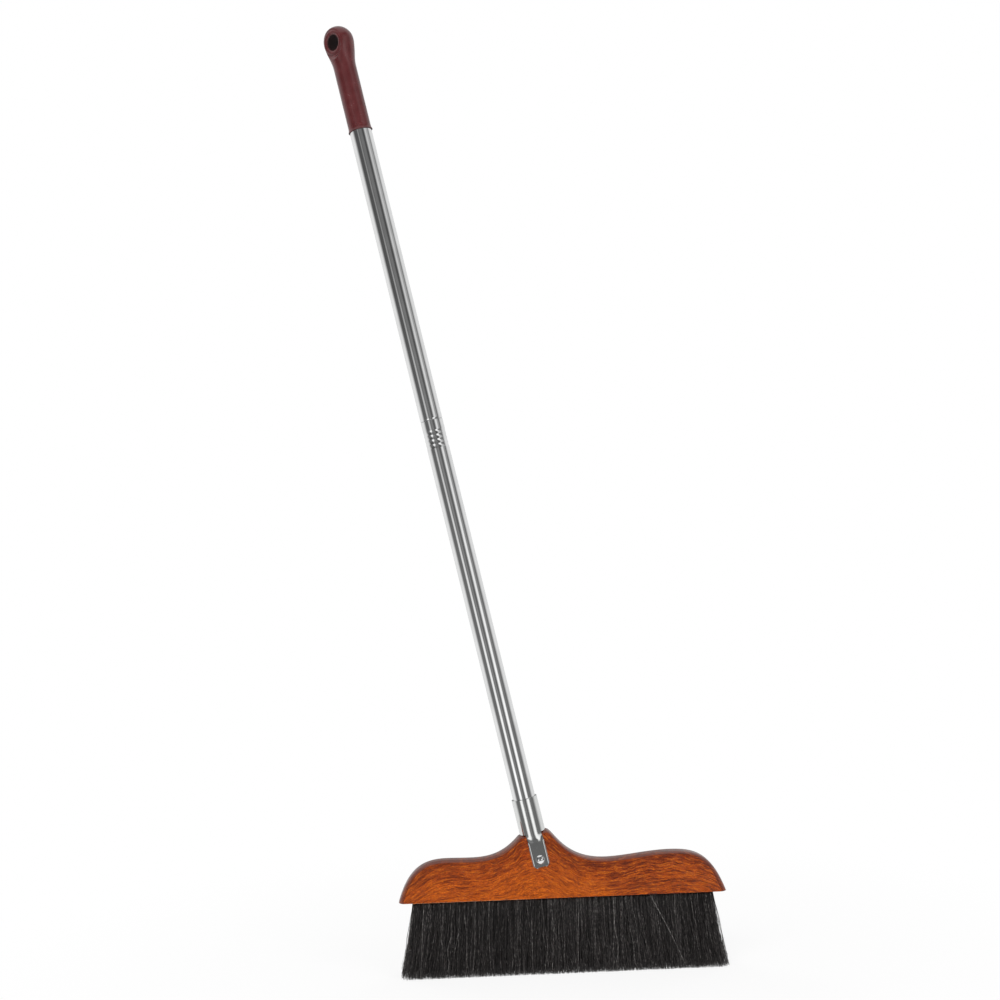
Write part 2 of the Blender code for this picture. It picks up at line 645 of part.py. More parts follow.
def make_socket(parts, helpers, look, rivet_look, axis):
    """The strap socket: a sleeve round the tube with a strap down the front and the back of the wood."""
    top, bottom = SLEEVE_LENGTH, SEAT_GAP
    profile = [(SLEEVE_RADIUS - SLEEVE_CHAMFER, top), (SLEEVE_RADIUS, top - SLEEVE_CHAMFER)]
    profile += [(SLEEVE_RADIUS, bottom), (SLEEVE_BORE_RADIUS, bottom), (SLEEVE_BORE_RADIUS, top)]
    sleeve = turned("strap_socket", profile, SLEEVE_STEPS, closed=True)
    finish_piece(place(sleeve, parts, axis), look)
    for side in (1, -1):
        boolean(sleeve, as_helper(place(strap(f"strap_{side}", side), helpers, axis)), "UNION")
    boolean(sleeve, rivet_hole(helpers, axis), "DIFFERENCE")
    rivet = finish_piece(place(turned("socket_rivet", rivet_profile(), RIVET_STEPS), parts, axis), rivet_look)
    rivet.rotation_euler = (math.pi / 2, 0, 0)
    rivet.location = (0, 0, -RIVET_DROP)


def make_lower_handle(parts, tube_look, plastic_look, axis):
    tube = turned("lower_tube", lower_tube_profile(), TURN_STEPS, closed=True)
    finish_piece(place(tube, parts, axis), tube_look)
    insert = turned("threaded_socket", socket_profile(), TURN_STEPS, closed=True)
    finish_piece(place(insert, parts, axis), plastic_look)


def make_upper_handle(parts, helpers, tube_look, plastic_look, grip_look, axis):
    tube = turned("upper_tube", upper_tube_profile(), TURN_STEPS, closed=True)
    finish_piece(place(tube, parts, axis), tube_look)
    spigot = turned("threaded_spigot", spigot_profile(), TURN_STEPS)
    finish_piece(place(spigot, parts, axis), plastic_look)
    curve = place(bpy.data.objects.new("thread", thread_helix()), helpers)
    boolean(spigot, as_helper(place(mesh_from_curve(curve), helpers, axis)), "UNION")
    grip = finish_piece(place(turned("grip", grip_profile(), GRIP_STEPS), parts, axis), grip_look)
    hole = as_helper(place(turned("hang_hole_cut", hang_hole_profile(), HOLE_STEPS), helpers, axis))
    hole.rotation_euler = (math.pi / 2, 0, -HANG_HOLE_TURN)
    hole.location = (0, 0, BULB_MIDDLE - HANG_HOLE_DROP)
    boolean(grip, hole, "DIFFERENCE")


def handle_axis(name, group):
    """An empty at the hump's top whose +Z runs up the leaning handle."""
    empty = place(bpy.data.objects.new(name, None), group)
    empty.location = HUMP_TOP
    empty.rotation_euler = (0, -HANDLE_LEAN, 0)
    return empty


def main():
    clear_scene()
    parts, helpers = new_collection("soft_bristle_broom"), new_collection("cutters")
    wood = material("lacquered_wood", (0.48, 0.12, 0.02), 0.25)
    hair = material("black_bristle", (0.02, 0.018, 0.018), 0.6)
    plate = material("bright_plate", (0.72, 0.73, 0.74), 0.15, 1.0)
    rivet_steel = material("rivet_steel", (0.8, 0.8, 0.8), 0.12, 1.0)
    tube_steel = material("tube_steel", (0.75, 0.76, 0.77), 0.12, 1.0)
    insert_plastic = material("insert_plastic", (0.03, 0.03, 0.03), 0.45)
    grip_plastic = material("grip_plastic", (0.12, 0.022, 0.022), 0.3)
    fixed, moving = handle_axis("handle_axis", parts), handle_axis("upper_handle_axis", parts)
    make_bristles(parts, helpers, hair)
    make_head(parts, helpers, wood, fixed)
    make_socket(parts, helpers, plate, rivet_steel, fixed)
    make_lower_handle(parts, tube_steel, insert_plastic, fixed)
    make_upper_handle(parts, helpers, tube_steel, insert_plastic, grip_plastic, moving)


main()
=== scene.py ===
"""Looks of the soft bristle broom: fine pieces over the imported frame, materials, studio and camera."""

import math

import bmesh
import bpy
import numpy as np
from mathutils import Matrix, Vector

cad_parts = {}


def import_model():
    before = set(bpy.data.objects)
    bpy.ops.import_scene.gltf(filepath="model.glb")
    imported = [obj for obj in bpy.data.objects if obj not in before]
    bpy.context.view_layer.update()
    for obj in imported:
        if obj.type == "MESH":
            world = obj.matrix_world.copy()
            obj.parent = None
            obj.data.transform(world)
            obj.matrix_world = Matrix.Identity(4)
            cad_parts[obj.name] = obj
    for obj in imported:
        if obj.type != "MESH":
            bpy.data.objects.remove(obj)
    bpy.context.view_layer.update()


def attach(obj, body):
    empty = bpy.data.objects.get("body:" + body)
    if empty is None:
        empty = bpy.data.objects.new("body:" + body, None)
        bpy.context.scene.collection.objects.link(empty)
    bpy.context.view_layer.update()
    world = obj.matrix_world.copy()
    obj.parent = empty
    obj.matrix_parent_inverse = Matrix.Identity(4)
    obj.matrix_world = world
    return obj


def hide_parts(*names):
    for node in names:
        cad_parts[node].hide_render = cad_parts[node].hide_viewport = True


# Places that repeat the source's sizes, in metres
WOOD_BOTTOM = 0.071
HEAD_LENGTH = 0.322
HEAD_THICKNESS = 0.021
LEAN = math.radians(12.25)
HUMP_TOP = Vector((-0.0283, 0.0, WOOD_BOTTOM + 0.0629))
HUMP_WIDTH = 0.0278
HUMP_CORNER = 0.0055
TUBE_RADIUS = 0.011
TUBE_WALL = 0.0008
TUBE_INNER = TUBE_RADIUS - TUBE_WALL
TUBE_STEP = 0.0007  # how much slimmer the upper tube is inside the grip
SEAM = 0.4180
GRIP_RIM = 0.7173
GRIP_TOP = 0.8265
GAP = 0.0003
SLEEVE_LENGTH = 0.0345
SLEEVE_WALL = 0.0013
STRAP_THICKNESS = 0.0011
STRAP_HALF_WIDTH = 0.0078
STRAP_LENGTH = 0.0329
STRAP_CORNER = 0.003
SLEEVE_MID_RADIUS = TUBE_RADIUS + GAP + SLEEVE_WALL / 2
STRAP_FLAT = HEAD_THICKNESS / 2 + GAP + STRAP_THICKNESS / 2
RIVET_DROP = 0.0256
BULB_RADIUS = 0.0154
BULB_MIDDLE = GRIP_TOP - BULB_RADIUS
BARREL_RADIUS = 0.0114
HOLE_HEIGHT = BULB_MIDDLE - 0.0016
HOLE_RADIUS = 0.0072
HOLE_TURN = math.radians(44)

# The camera, fitted to the photo
CAMERA_TARGET = Vector((-0.05105, 0.0, 0.4616))
CAMERA_DISTANCE = 1.4168
CAMERA_TURN = math.radians(-3.0)
CAMERA_PITCH = math.radians(-2.867)
CAMERA_ROLL = math.radians(-1.616)
CAMERA_LENS = 51.28
CAMERA_SENSOR = 36

HANDLE = Matrix.Translation(HUMP_TOP) @ Matrix.Rotation(-LEAN, 4, "Y")
ROOT_BODY = "head_and_lower_handle"
THREAD_BODY = "thread_carrier"
UPPER_BODY = "upper_handle"


# Small mesh helpers


def link(obj):
    bpy.context.scene.collection.objects.link(obj)
    return obj


def mesh_object(name, points, faces, matrix=None):
    """A mesh in world coordinates, from points that the matrix brings there."""
    mesh = bpy.data.meshes.new(name)
    mesh.from_pydata([tuple(point) for point in points], [], faces)
    if matrix is not None:
        mesh.transform(matrix)
    mesh.update()
    return link(bpy.data.objects.new(name, mesh))


def smooth(obj, angle):
    """Smooth shading with edges sharper than the angle, in degrees, kept crisp."""
    mesh = obj.data
    mesh.shade_smooth()
    mesh.set_sharp_from_angle(angle=math.radians(angle))
    return obj


def applied(obj):
    """Replaces the object's mesh by what its modifiers make of it."""
    bpy.context.view_layer.update()
    graph = bpy.context.evaluated_depsgraph_get()
    mesh = bpy.data.meshes.new_from_object(obj.evaluated_get(graph))
    obj.modifiers.clear()
    obj.data = mesh
    return obj


def evenly_smooth(obj, angle):
    """Smooth shading that lets big flat faces look flat next to rounded edges."""
    smooth(obj, angle)
    modifier = obj.modifiers.new("even shading", "WEIGHTED_NORMAL")
    modifier.mode, modifier.weight, modifier.keep_sharp = "FACE_AREA", 100, True
    return applied(obj)


def round_edges(obj, width, segments, angle):
    """Rounds the edges sharper than the angle, in degrees."""
    rounding = obj.modifiers.new("rounded edges", "BEVEL")
    rounding.width, rounding.segments = width, segments
    rounding.limit_method, rounding.angle_limit = "ANGLE", math.radians(angle)
    return applied(obj)


def lathe(name, profile, steps, matrix=HANDLE, closed=False):
    """Turns (radius, height) points, given down the outer side, about Z."""
    rings, points, faces = [], [], []
    for radius, height in profile:
        if radius < 1e-7:
            rings.append([len(points)])
            points.append((0, 0, height))
            continue
        rings.append(list(range(len(points), len(points) + steps)))
        for i in range(steps):
            turn = 2 * math.pi * i / steps
            points.append((radius * math.cos(turn), radius * math.sin(turn), height))
    pairs = list(zip(rings, rings[1:]))
    if closed:
        pairs.append((rings[-1], rings[0]))
    for upper, lower in pairs:
        for i in range(steps):
            j = (i + 1) % steps
            if len(upper) == 1:
                faces.append((upper[0], lower[i], lower[j]))
            elif len(lower) == 1:
                faces.append((upper[i], lower[0], upper[j]))
            else:
                faces.append((upper[i], lower[i], lower[j], upper[j]))
    return mesh_object(name, points, faces, matrix)


def arc(centre, radius, start, end, steps):
    """(radius, height) points of an arc. Angles in degrees, 0 outwards and 90 up."""
    turns = [math.radians(start + (end - start) * i / steps) for i in range(steps + 1)]
    return [(centre[0] + radius * math.cos(t), centre[1] + radius * math.sin(t)) for t in turns]


def join(target, other):
    """Adds the other object's mesh to the target's."""
    bm = bmesh.new()
    bm.from_mesh(target.data)
    bm.from_mesh(other.data)
    bpy.data.objects.remove(other)
    bm.to_mesh(target.data)
    bm.free()


def settle(obj, look, body, *nodes, slot):
    """Gives a piece its look and puts it on its body in place of its nodes. The slot is not used."""
    obj.data.materials.append(look)
    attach(obj, body)
    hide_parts(*nodes)


# Node helpers


def material(name, inputs_of, *settings):
    """A material whose shader has the inputs that the function finds for its node tree."""
    made = bpy.data.materials.new(name)
    made.use_nodes = True
    feed(made.node_tree.nodes["Principled BSDF"], inputs_of(made.node_tree, *settings))
    return made


def feed(node, inputs):
    """Sets a node's inputs to values or links them to sockets."""
    for key, value in inputs.items():
        if isinstance(value, bpy.types.NodeSocket):
            node.id_data.links.new(value, node.inputs[key])
        else:
            node.inputs[key].default_value = value


def put(tree, kind, inputs=None, **settings):
    """Adds a node, sets its properties and feeds its inputs."""
    made = tree.nodes.new(kind)
    for key, value in settings.items():
        setattr(made, key, value)
    feed(made, inputs or {})
    return made


def extend(kind, inputs, **settings):
    """Adds a node to the tree that its inputs come from."""
    sockets = [value for value in inputs.values() if isinstance(value, bpy.types.NodeSocket)]
    return put(sockets[0].id_data, kind, inputs, **settings)


def calc(operation, a, b=0.0, c=0.0):
    return extend("ShaderNodeMath", {0: a, 1: b, 2: c}, operation=operation).outputs[0]


def times(a, b):
    return calc("MULTIPLY", a, b)


def scaled(value, factor, added):
    """A value times a factor, plus what is added."""
    return calc("MULTIPLY_ADD", value, factor, added)


def vector_calc(operation, a, b=(0, 0, 0)):
    """A vector, or for a dot product or a length a number."""
    made = extend("ShaderNodeVectorMath", {0: a, 1: b}, operation=operation)
    return made.outputs["Value" if operation in ("DOT_PRODUCT", "LENGTH") else "Vector"]


def span(value, low, high, to_low=0.0, to_high=1.0, kind="SMOOTHSTEP"):
    """Maps low..high to to_low..to_high, held at both ends."""
    inputs = {"Value": value, "From Min": low, "From Max": high, "To Min": to_low, "To Max": to_high}
    return extend("ShaderNodeMapRange", inputs, interpolation_type=kind).outputs["Result"]


def noise(vector, scale, detail=2.0, rough=0.5):
    inputs = {"Vector": vector, "Scale": scale, "Detail": detail, "Roughness": rough}
    return extend("ShaderNodeTexNoise", inputs).outputs["Fac"]


def stretched(x, y, z):
    return extend("ShaderNodeCombineXYZ", {0: x, 1: y, 2: z}).outputs[0]


def parts_of(vector):
    outputs = extend("ShaderNodeSeparateXYZ", {0: vector}).outputs
    return outputs[0], outputs[1], outputs[2]


def grey(level):
    return stretched(level, level, level)


def turned_about(vector, axis, centre, angle):
    inputs = {"Vector": vector, "Center": centre, "Angle": angle}
    return extend("ShaderNodeVectorRotate", inputs, rotation_type=axis).outputs[0]


def blend(factor, a, b, mode="MIX"):
    """Mixes two colours, each a socket or three numbers."""
    a, b = ((*colour, 1) if isinstance(colour, tuple) else colour for colour in (a, b))
    return extend("ShaderNodeMix", {0: factor, 6: a, 7: b}, data_type="RGBA", blend_type=mode).outputs[2]


def shaded(colour, level):
    """A colour times a level of brightness."""
    return blend(1.0, colour, grey(level), "MULTIPLY")


def curve_of(value, points):
    """A smooth curve of a value through (place, level) points, both in 0..1."""
    made = extend("ShaderNodeFloatCurve", {"Value": value})
    curve = made.mapping.curves[0]
    while len(curve.points) > 2:
        curve.points.remove(curve.points[1])
    curve.points[0].location, curve.points[1].location = points[0], points[-1]
    for point in points[1:-1]:
        curve.points.new(*point)
    made.mapping.update()
    return made.outputs[0]


def bump(height, distance):
    return extend("ShaderNodeBump", {"Height": height, "Distance": distance}).outputs[0]


# The wood

# The grain follows the head's waves. How far a grain line at the top of the wood is lifted, as (place along
# the head, lift) with 0.6 for none
GRAIN_LIFT = [(0, 0.0), (0.06, 0.33), (0.14, 0.56), (0.22, 0.60), (0.29, 0.66), (0.35, 0.84)]
GRAIN_LIFT += [(0.406, 0.98), (0.46, 0.86), (0.52, 0.58), (0.58, 0.45), (0.66, 0.46), (0.75, 0.52)]
GRAIN_LIFT += [(0.84, 0.56), (0.90, 0.46), (0.95, 0.28), (1, 0.0)]
# How much of that lift is left at the wood's bottom
GRAIN_KEPT = [(0, 0.85), (0.12, 0.6), (0.25, 0.25), (0.38, 0.3), (0.5, 0.8), (0.62, 0.9)]
GRAIN_KEPT += [(0.8, 0.4), (1, 0.85)]

# The grain's noises: how fine each is along the grain lines and across them, its detail and its roughness
GRAINS = {
    "bands": (14.0, 110.0, 2.0, 0.5),
    "rings": (28.0, 640.0, 3.0, 0.6),
    "dashes": (104.0, 980.0, 2.0, 0.6),
    "fibres": (620.0, 2600.0, 2.0, 0.6),
    "pores": (480.0, 3400.0, 1.0, 0.5),
}

STAINS_AND_PAINTED_LIGHT = {
    "dark band": (0.285, 0.041, 0.0022),
    "light band": (0.415, 0.073, 0.0038),
    "glow": (0.465, 0.091, 0.0034),
    "top": (0.165, 0.024, 0.0025),
    "right end": (0.220, 0.032, 0.0028),
    "ring": (0.100, 0.014, 0.0020),
    "dash": (0.085, 0.012, 0.0020),
    "pale dash": (0.60, 0.145, 0.007),
    "pore": (0.06, 0.010, 0.002),
    # The last two are painted light, not stain: shade on the sides that round over, and a highlight along the
    # left of the foot's edge
    "painted shade on round-over": (0.085, 0.014, 0.004),
    "painted highlight on foot edge": (0.80, 0.42, 0.22),
}


def grain_height(x, z):
    """The height of the grain line through each point of the wood, if it had no small waves."""
    along = span(x, -0.1605, 0.1605, kind="LINEAR")
    level = span(z, WOOD_BOTTOM, WOOD_BOTTOM + 0.045, kind="LINEAR")
    lift = scaled(curve_of(along, GRAIN_LIFT), 0.05, -0.03)
    kept = curve_of(along, GRAIN_KEPT)
    share = calc("ADD", kept, times(level, calc("SUBTRACT", 1.0, kept)))
    return calc("SUBTRACT", z, times(lift, share))


def wavy(line, place, run, rise, size):
    """Grain lines moved up and down in waves, run and rise waves to the metre and up to half the size."""
    x, y, height = place
    wave = noise(stretched(times(x, run), y, times(height, rise)), 1.0)
    return scaled(calc("SUBTRACT", wave, 0.5), size, line)


def wood_grain(x, y, z):
    """The height of the wavy grain lines, and the grain's noises drawn out along them."""
    line = grain_height(x, z)
    line = wavy(line, (x, y, z), 22.0, 30.0, 0.012)
    line = wavy(line, (x, y, line), 105.0, 130.0, 0.0030)
    depth = times(y, 60.0)
    grain = {}
    for name, (run, across, detail, rough) in GRAINS.items():
        vector = stretched(times(x, run), depth, times(line, across))
        grain[name] = noise(vector, 1.0, detail, rough)
    return line, grain


def wood_layers(x, z, line, grain):
    """How much of each stain lies on the bands, in the order that they are laid on, and the plain rings."""
    slanted = scaled(z, 1.065, x)
    right = span(slanted, 0.118, 0.150)
    low = span(z, WOOD_BOTTOM + 0.046, WOOD_BOTTOM + 0.006)
    middle = times(span(x, -0.115, -0.02), span(slanted, 0.140, 0.120))
    rings = times(span(grain["rings"], 0.50, 0.62), scaled(right, 0.26, 0.42))
    dashes = times(span(grain["dashes"], 0.51, 0.64), scaled(right, 0.18, 0.66))
    # The grain is fainter in the glow
    calm = scaled(times(low, middle), -0.38, 1.0)
    layers = {
        "glow": times(low, scaled(middle, 0.45, 0.30)),
        "top": span(line, WOOD_BOTTOM + 0.022, WOOD_BOTTOM + 0.040, 0.0, 0.72),
        "right end": times(right, 0.34),
        "ring": times(rings, calm),
        "dash": times(dashes, calm),
        "pale dash": span(grain["dashes"], 0.46, 0.36, 0.0, 0.44),
    }
    return layers, rings


def pore_and_painted_light_layers(x, facing, pores):
    """How much lies in the pores as stain, on the sides that round over as painted shade and on the left of
    the foot's edge as a painted highlight.
    """
    _, facing_back, facing_up = parts_of(facing)
    # A painted highlight on the down-facing edge of the foot, on its left
    foot = times(span(facing_up, -0.2, -0.5), span(x, -0.02, -0.05))
    return {
        "pore": times(pores, 0.6),
        # Painted shade where the sides round over, away from the front and back faces
        "painted shade on round-over": span(calc("ABSOLUTE", facing_back), 0.97, 0.84, 0.0, 0.62),
        "painted highlight on foot edge": times(foot, 0.75),
    }


def with_stains_and_painted_light(colour, layers):
    for name, share in layers.items():
        colour = blend(share, colour, STAINS_AND_PAINTED_LIGHT[name])
    return colour


def wood_inputs(tree):
    """Lacquered hardwood: red-brown bands, wavy dark grain, pores and an orange glow low in the middle, with
    painted shade on the sides that round over and a painted highlight along the left of the foot's edge.
    """
    places = put(tree, "ShaderNodeTexCoord").outputs
    x, y, z = parts_of(places["Object"])
    line, grain = wood_grain(x, y, z)
    layers, rings = wood_layers(x, z, line, grain)
    pores = span(grain["pores"], 0.62, 0.70)
    bands = span(grain["bands"], 0.30, 0.70)
    colour = with_stains_and_painted_light(blend(bands, STAINS_AND_PAINTED_LIGHT["dark band"], STAINS_AND_PAINTED_LIGHT["light band"]), layers)
    colour = shaded(colour, span(grain["fibres"], 0.3, 0.7, 0.62, 1.40))
    # Pores as stain, then painted shade on the sides that round over and a painted highlight along the left
    # of the foot's edge
    colour = with_stains_and_painted_light(colour, pore_and_painted_light_layers(x, places["Normal"], pores))
    relief = calc("SUBTRACT", times(grain["fibres"], 0.5), calc("ADD", rings, pores))
    coat = scaled(noise(places["Object"], 70.0), 1.6, times(relief, 0.16))
    return {
        "Base Color": colour,
        "Roughness": span(grain["fibres"], 0.3, 0.7, 0.34, 0.46),
        "Normal": bump(relief, 0.00006),
        "Specular IOR Level": 0.08,
        "Coat Weight": 0.8,
        "Coat Roughness": 0.08,
        "Coat IOR": 1.5,
        "Coat Normal": bump(coat, 0.00022),
    }


# The metals and plastics

# Colour, roughness, and how short the draw marks are: 1 for round spots, near 0 for long lines
METALS = {
    "plate": ((0.84, 0.85, 0.84), 0.11, 0.02),
    "tube": ((0.90, 0.905, 0.905), 0.075, 0.004),
    "rivet": ((0.88, 0.88, 0.88), 0.09, 1.0),
}


def handle_coordinates(tree):
    """The places on the handle's pieces as if the handle stood upright."""
    where = put(tree, "ShaderNodeTexCoord").outputs["Object"]
    return turned_about(where, "Y_AXIS", HUMP_TOP, LEAN)


def metal_inputs(tree, colour, rough, run):
    """Bright metal with a cloudy polish and faint lengthwise draw marks."""
    where = handle_coordinates(tree)
    x, y, z = parts_of(where)
    drawn_along = stretched(x, y, times(z, run))
    drawn = noise(drawn_along, 2600.0, 2.0, 0.6)
    wide = noise(drawn_along, 900.0)
    cloud = noise(where, 60.0, 3.0, 0.6)
    tone = span(scaled(drawn, 0.5, cloud), 0.4, 1.1, 0.88, 1.0)
    marks = scaled(drawn, 0.03, rough - 0.045)
    return {
        "Base Color": shaded(colour, tone),
        "Metallic": 1.0,
        "Roughness": scaled(cloud, 0.06, marks),
        "Normal": bump(scaled(wide, 2.0, drawn), 0.0000025),
    }


def hole_share(where):
    """1 in the bore of the hanging hole and 0 outside it."""
    centre = HUMP_TOP + Vector((0, 0, HOLE_HEIGHT))
    turned = turned_about(where, "Z_AXIS", centre, HOLE_TURN)
    across = vector_calc("MULTIPLY", vector_calc("SUBTRACT", turned, centre), (1, 0, 1))
    return span(vector_calc("LENGTH", across), HOLE_RADIUS + 0.0009, HOLE_RADIUS + 0.0002)


def grip_inputs(tree):
    """Wine-red moulded plastic with cloudy pigment and a soft gloss, dull in the bore of the hanging hole and
    darkened there, partly by the plastic's own dark and partly by painted shade.
    """
    where = handle_coordinates(tree)
    cloud = noise(where, 110.0, 3.0, 0.6)
    bore = hole_share(where)
    colour = blend(span(cloud, 0.3, 0.7), (0.076, 0.0140, 0.0150), (0.098, 0.0195, 0.0210))
    return {
        # The bore's near-black is partly the plastic's own dark and partly painted shade
        "Base Color": blend(times(bore, 0.85), colour, (0.010, 0.006, 0.006)),
        "Roughness": scaled(bore, 0.6, span(cloud, 0.3, 0.7, 0.20, 0.28)),
        "Normal": bump(noise(where, 420.0), 0.00001),
    }


def insert_inputs(tree):
    """Black moulded plastic of the two inserts."""
    where = handle_coordinates(tree)
    cloud = noise(where, 240.0, 3.0, 0.6)
    return {
        "Base Color": blend(span(cloud, 0.3, 0.7), (0.012, 0.012, 0.013), (0.026, 0.026, 0.027)),
        "Roughness": span(cloud, 0.3, 0.7, 0.34, 0.5),
        "Normal": bump(noise(where, 1800.0), 0.00004),
    }


# The light and bright colours are grey hairs, lit in short spots along their length as painted glints
HAIR_COLOURS = {
    "darkest": (0.0115, 0.0102, 0.0099),
    "dark": (0.037, 0.0335, 0.0327),
    "light": (0.205, 0.187, 0.181),
    "bright": (0.42, 0.395, 0.378),
    "tip": (0.160, 0.147, 0.141),
}


def hair_inputs(tree):
    """Black filament: each hair has its own tone, light ones carry short painted glints along their length,
    and the tips are a little greyer.
    """
    tone = put(tree, "ShaderNodeAttribute", attribute_name="tone").outputs["Fac"]
    along = put(tree, "ShaderNodeAttribute", attribute_name="along").outputs["Fac"]
    # Short spots along each light hair brighten it as painted glints
    spots = stretched(times(tone, 900.0), times(along, 26.0), 0.0)
    painted_glints = span(noise(spots, 1.0, 1.0), 0.46, 0.60)
    colour = blend(span(tone, 0.0, 0.7), HAIR_COLOURS["darkest"], HAIR_COLOURS["dark"])
    layers = {
        "light": times(span(tone, 0.64, 0.86), painted_glints),
        "bright": times(span(tone, 0.960, 0.995), scaled(painted_glints, 0.8, 0.2)),
        "tip": span(along, 0.90, 1.0, 0.0, 0.10),
    }
    for name, share in layers.items():
        colour = blend(share, colour, HAIR_COLOURS[name])
    return {
        "Base Color": colour,
        "Roughness": span(tone, 0.0, 1.0, 0.38, 0.52, "LINEAR"),
        "Specular IOR Level": 0.45,
    }


# The head

TOP_FALL = 0.0019  # how far the rounded edge falls from the outline to the front face, along the head's top
LEFT_FALL = 0.0045
RIGHT_FALL = 0.0058
EDGE_DEPTH = 0.0070
EDGE_TURN = 52  # degrees that the edge turns through before it meets the face
NECK_SLOPE = 47.3  # degrees by which the outline rises to the hump, and falls on its other side
SLOPE_BEYOND = -32.9


def bezier(a, b, c, d, steps):
    """Points of one cubic span without its last."""
    points = []
    for i in range(steps):
        t = i / steps
        weights = ((1 - t) ** 3, 3 * t * (1 - t) ** 2, 3 * t * t * (1 - t), t**3)
        points.append(tuple(sum(w * p[k] for w, p in zip(weights, (a, b, c, d))) for k in (0, 1)))
    return points


def offset_from(point, length, degrees):
    turn = math.radians(degrees)
    return (point[0] + length * math.cos(turn), point[1] + length * math.sin(turn))


def corner_ends(corner, slope_in, slope_out):
    """Where a rounded corner starts and ends, and how far its two handles reach."""
    turn = math.radians(abs(slope_out - slope_in))
    cut, reach = HUMP_CORNER * math.tan(turn / 2), HUMP_CORNER * math.tan(turn / 4) * 4 / 3
    return offset_from(corner, -cut, slope_in), offset_from(corner, cut, slope_out), reach


def head_top():
    """The head's upper outline from its left foot corner to its right one, as (x, z) points."""
    half, lean = HEAD_LENGTH / 2, math.degrees(LEAN)
    left, right = (-half, WOOD_BOTTOM), (half, WOOD_BOTTOM)
    left_top, right_top = (-0.1124, WOOD_BOTTOM + 0.0398), (0.1075, WOOD_BOTTOM + 0.0404)
    valley, hump = (0.0428, WOOD_BOTTOM + 0.0354), (HUMP_TOP.x, HUMP_TOP.z)
    neck, cut_start, left_reach = corner_ends(offset_from(hump, -HUMP_WIDTH / 2, lean), NECK_SLOPE, lean)
    cut_end, fall, right_reach = corner_ends(offset_from(hump, HUMP_WIDTH / 2, lean), lean, SLOPE_BEYOND)
    # Each knot's place and slope, how far its handles reach back and on, and the steps to the next knot
    knots = [
        (left, 73.3, 0, 0.0363, 34),
        (left_top, 0, 0.0213, 0.0284, 30),
        (neck, NECK_SLOPE, 0.0317, left_reach, 8),
        (cut_start, lean, left_reach, 0, 8),
        (cut_end, lean, 0, right_reach, 8),
        (fall, SLOPE_BEYOND, right_reach, 0.0084, 34),
        (valley, 0, 0.0380, 0.0199, 28),
        (right_top, 0, 0.0231, 0.0266, 34),
        (right, -69.5, 0.0377, 0, 0),
    ]
    points = []
    for (a, slope_a, _, reach_on, steps), (b, slope_b, reach_back, _, _) in zip(knots, knots[1:]):
        points += bezier(a, offset_from(a, reach_on, slope_a), offset_from(b, -reach_back, slope_b), b, steps)
    return points + [right]


def inset_top(points, share):
    """The outline moved inwards by a share of the edge's fall, which is larger at the head's two ends."""
    moved = []
    for i, (x, z) in enumerate(points):
        before, after = points[max(i - 1, 0)], points[min(i + 1, len(points) - 1)]
        dx, dz = after[0] - before[0], after[1] - before[1]
        size = math.hypot(dx, dz)
        nx, nz = dz / size, -dx / size
        sideways = nx * nx * min(abs(x) / 0.13, 1)
        end_fall = LEFT_FALL if x < 0 else RIGHT_FALL
        fall = share * (TOP_FALL + (end_fall - TOP_FALL) * sideways)
        if i in (0, len(points) - 1):
            moved.append((x + fall / nx, z))
        else:
            moved.append((x + fall * nx, z + fall * nz))
    return moved


def edge_sections():
    """The head's cross-section, front to back, as (share of the edge's fall, depth) points."""
    half, steps, sharpest = HEAD_THICKNESS / 2, 8, math.radians(EDGE_TURN)
    front = []
    for i in range(steps + 1):
        turn = sharpest * (1 - i / steps)
        fall = (1 - math.cos(turn)) / (1 - math.cos(sharpest))
        front.append((fall, -half + EDGE_DEPTH * (1 - math.sin(turn) / math.sin(sharpest))))
    return front + [(fall, -depth) for fall, depth in reversed(front)]


def face_outwards(obj):
    bm = bmesh.new()
    bm.from_mesh(obj.data)
    bmesh.ops.recalc_face_normals(bm, faces=bm.faces)
    bm.to_mesh(obj.data)
    bm.free()


def head_piece(look):
    """The wooden head: flat faces, sides that round over behind a crisp edge, and a level foot."""
    top, sections = head_top(), edge_sections()
    points, faces, count = [], [], len(top)
    for share, y in sections:
        points += [(x, y, z) for x, z in inset_top(top, share)]
    for ring in range(len(sections) - 1):
        for i in range(count - 1):
            a, b = ring * count + i, (ring + 1) * count + i
            faces.append((a, b, b + 1, a + 1))
    last = (len(sections) - 1) * count
    faces.append(tuple(range(count)))
    faces.append(tuple(last + i for i in reversed(range(count))))
    left_foot = [ring * count for ring in range(len(sections))]
    right_foot = [ring * count + count - 1 for ring in range(len(sections))]
    faces.append(tuple(left_foot + list(reversed(right_foot))))
    obj = mesh_object("head_block_wood", points, faces)
    face_outwards(obj)
    round_edges(obj, 0.0004, 3, 25)
    evenly_smooth(obj, 60)
    settle(obj, look, ROOT_BODY, "head_block", slot="lacquered_wood")


# The bristles

HAIRS_PER_TUFT = 98
TUFT_PITCH = 0.0074
TUFT_REACH = 0.1462  # how far the tufts' middles stand from the head's middle
TUFT_RADIUS = 0.0029
ROOT_ROWS = 0.0035  # from row to row at the wood
TIP_ROWS = 0.0072  # and at the floor
# No hair reaches further than these
ROOT_LIMIT = 0.1473
TIP_LIMITS = (-0.1590, 0.1600)
TIP_DEPTH_LIMIT = 0.0172
HAIR_LIMITS = (-0.1600, 0.1603)
HAIR_DEPTH_LIMIT = 0.0176
LOWEST_TIP = 0.00005
HAIR_TAPER = 0.2
OTHER_STRAYS = 26


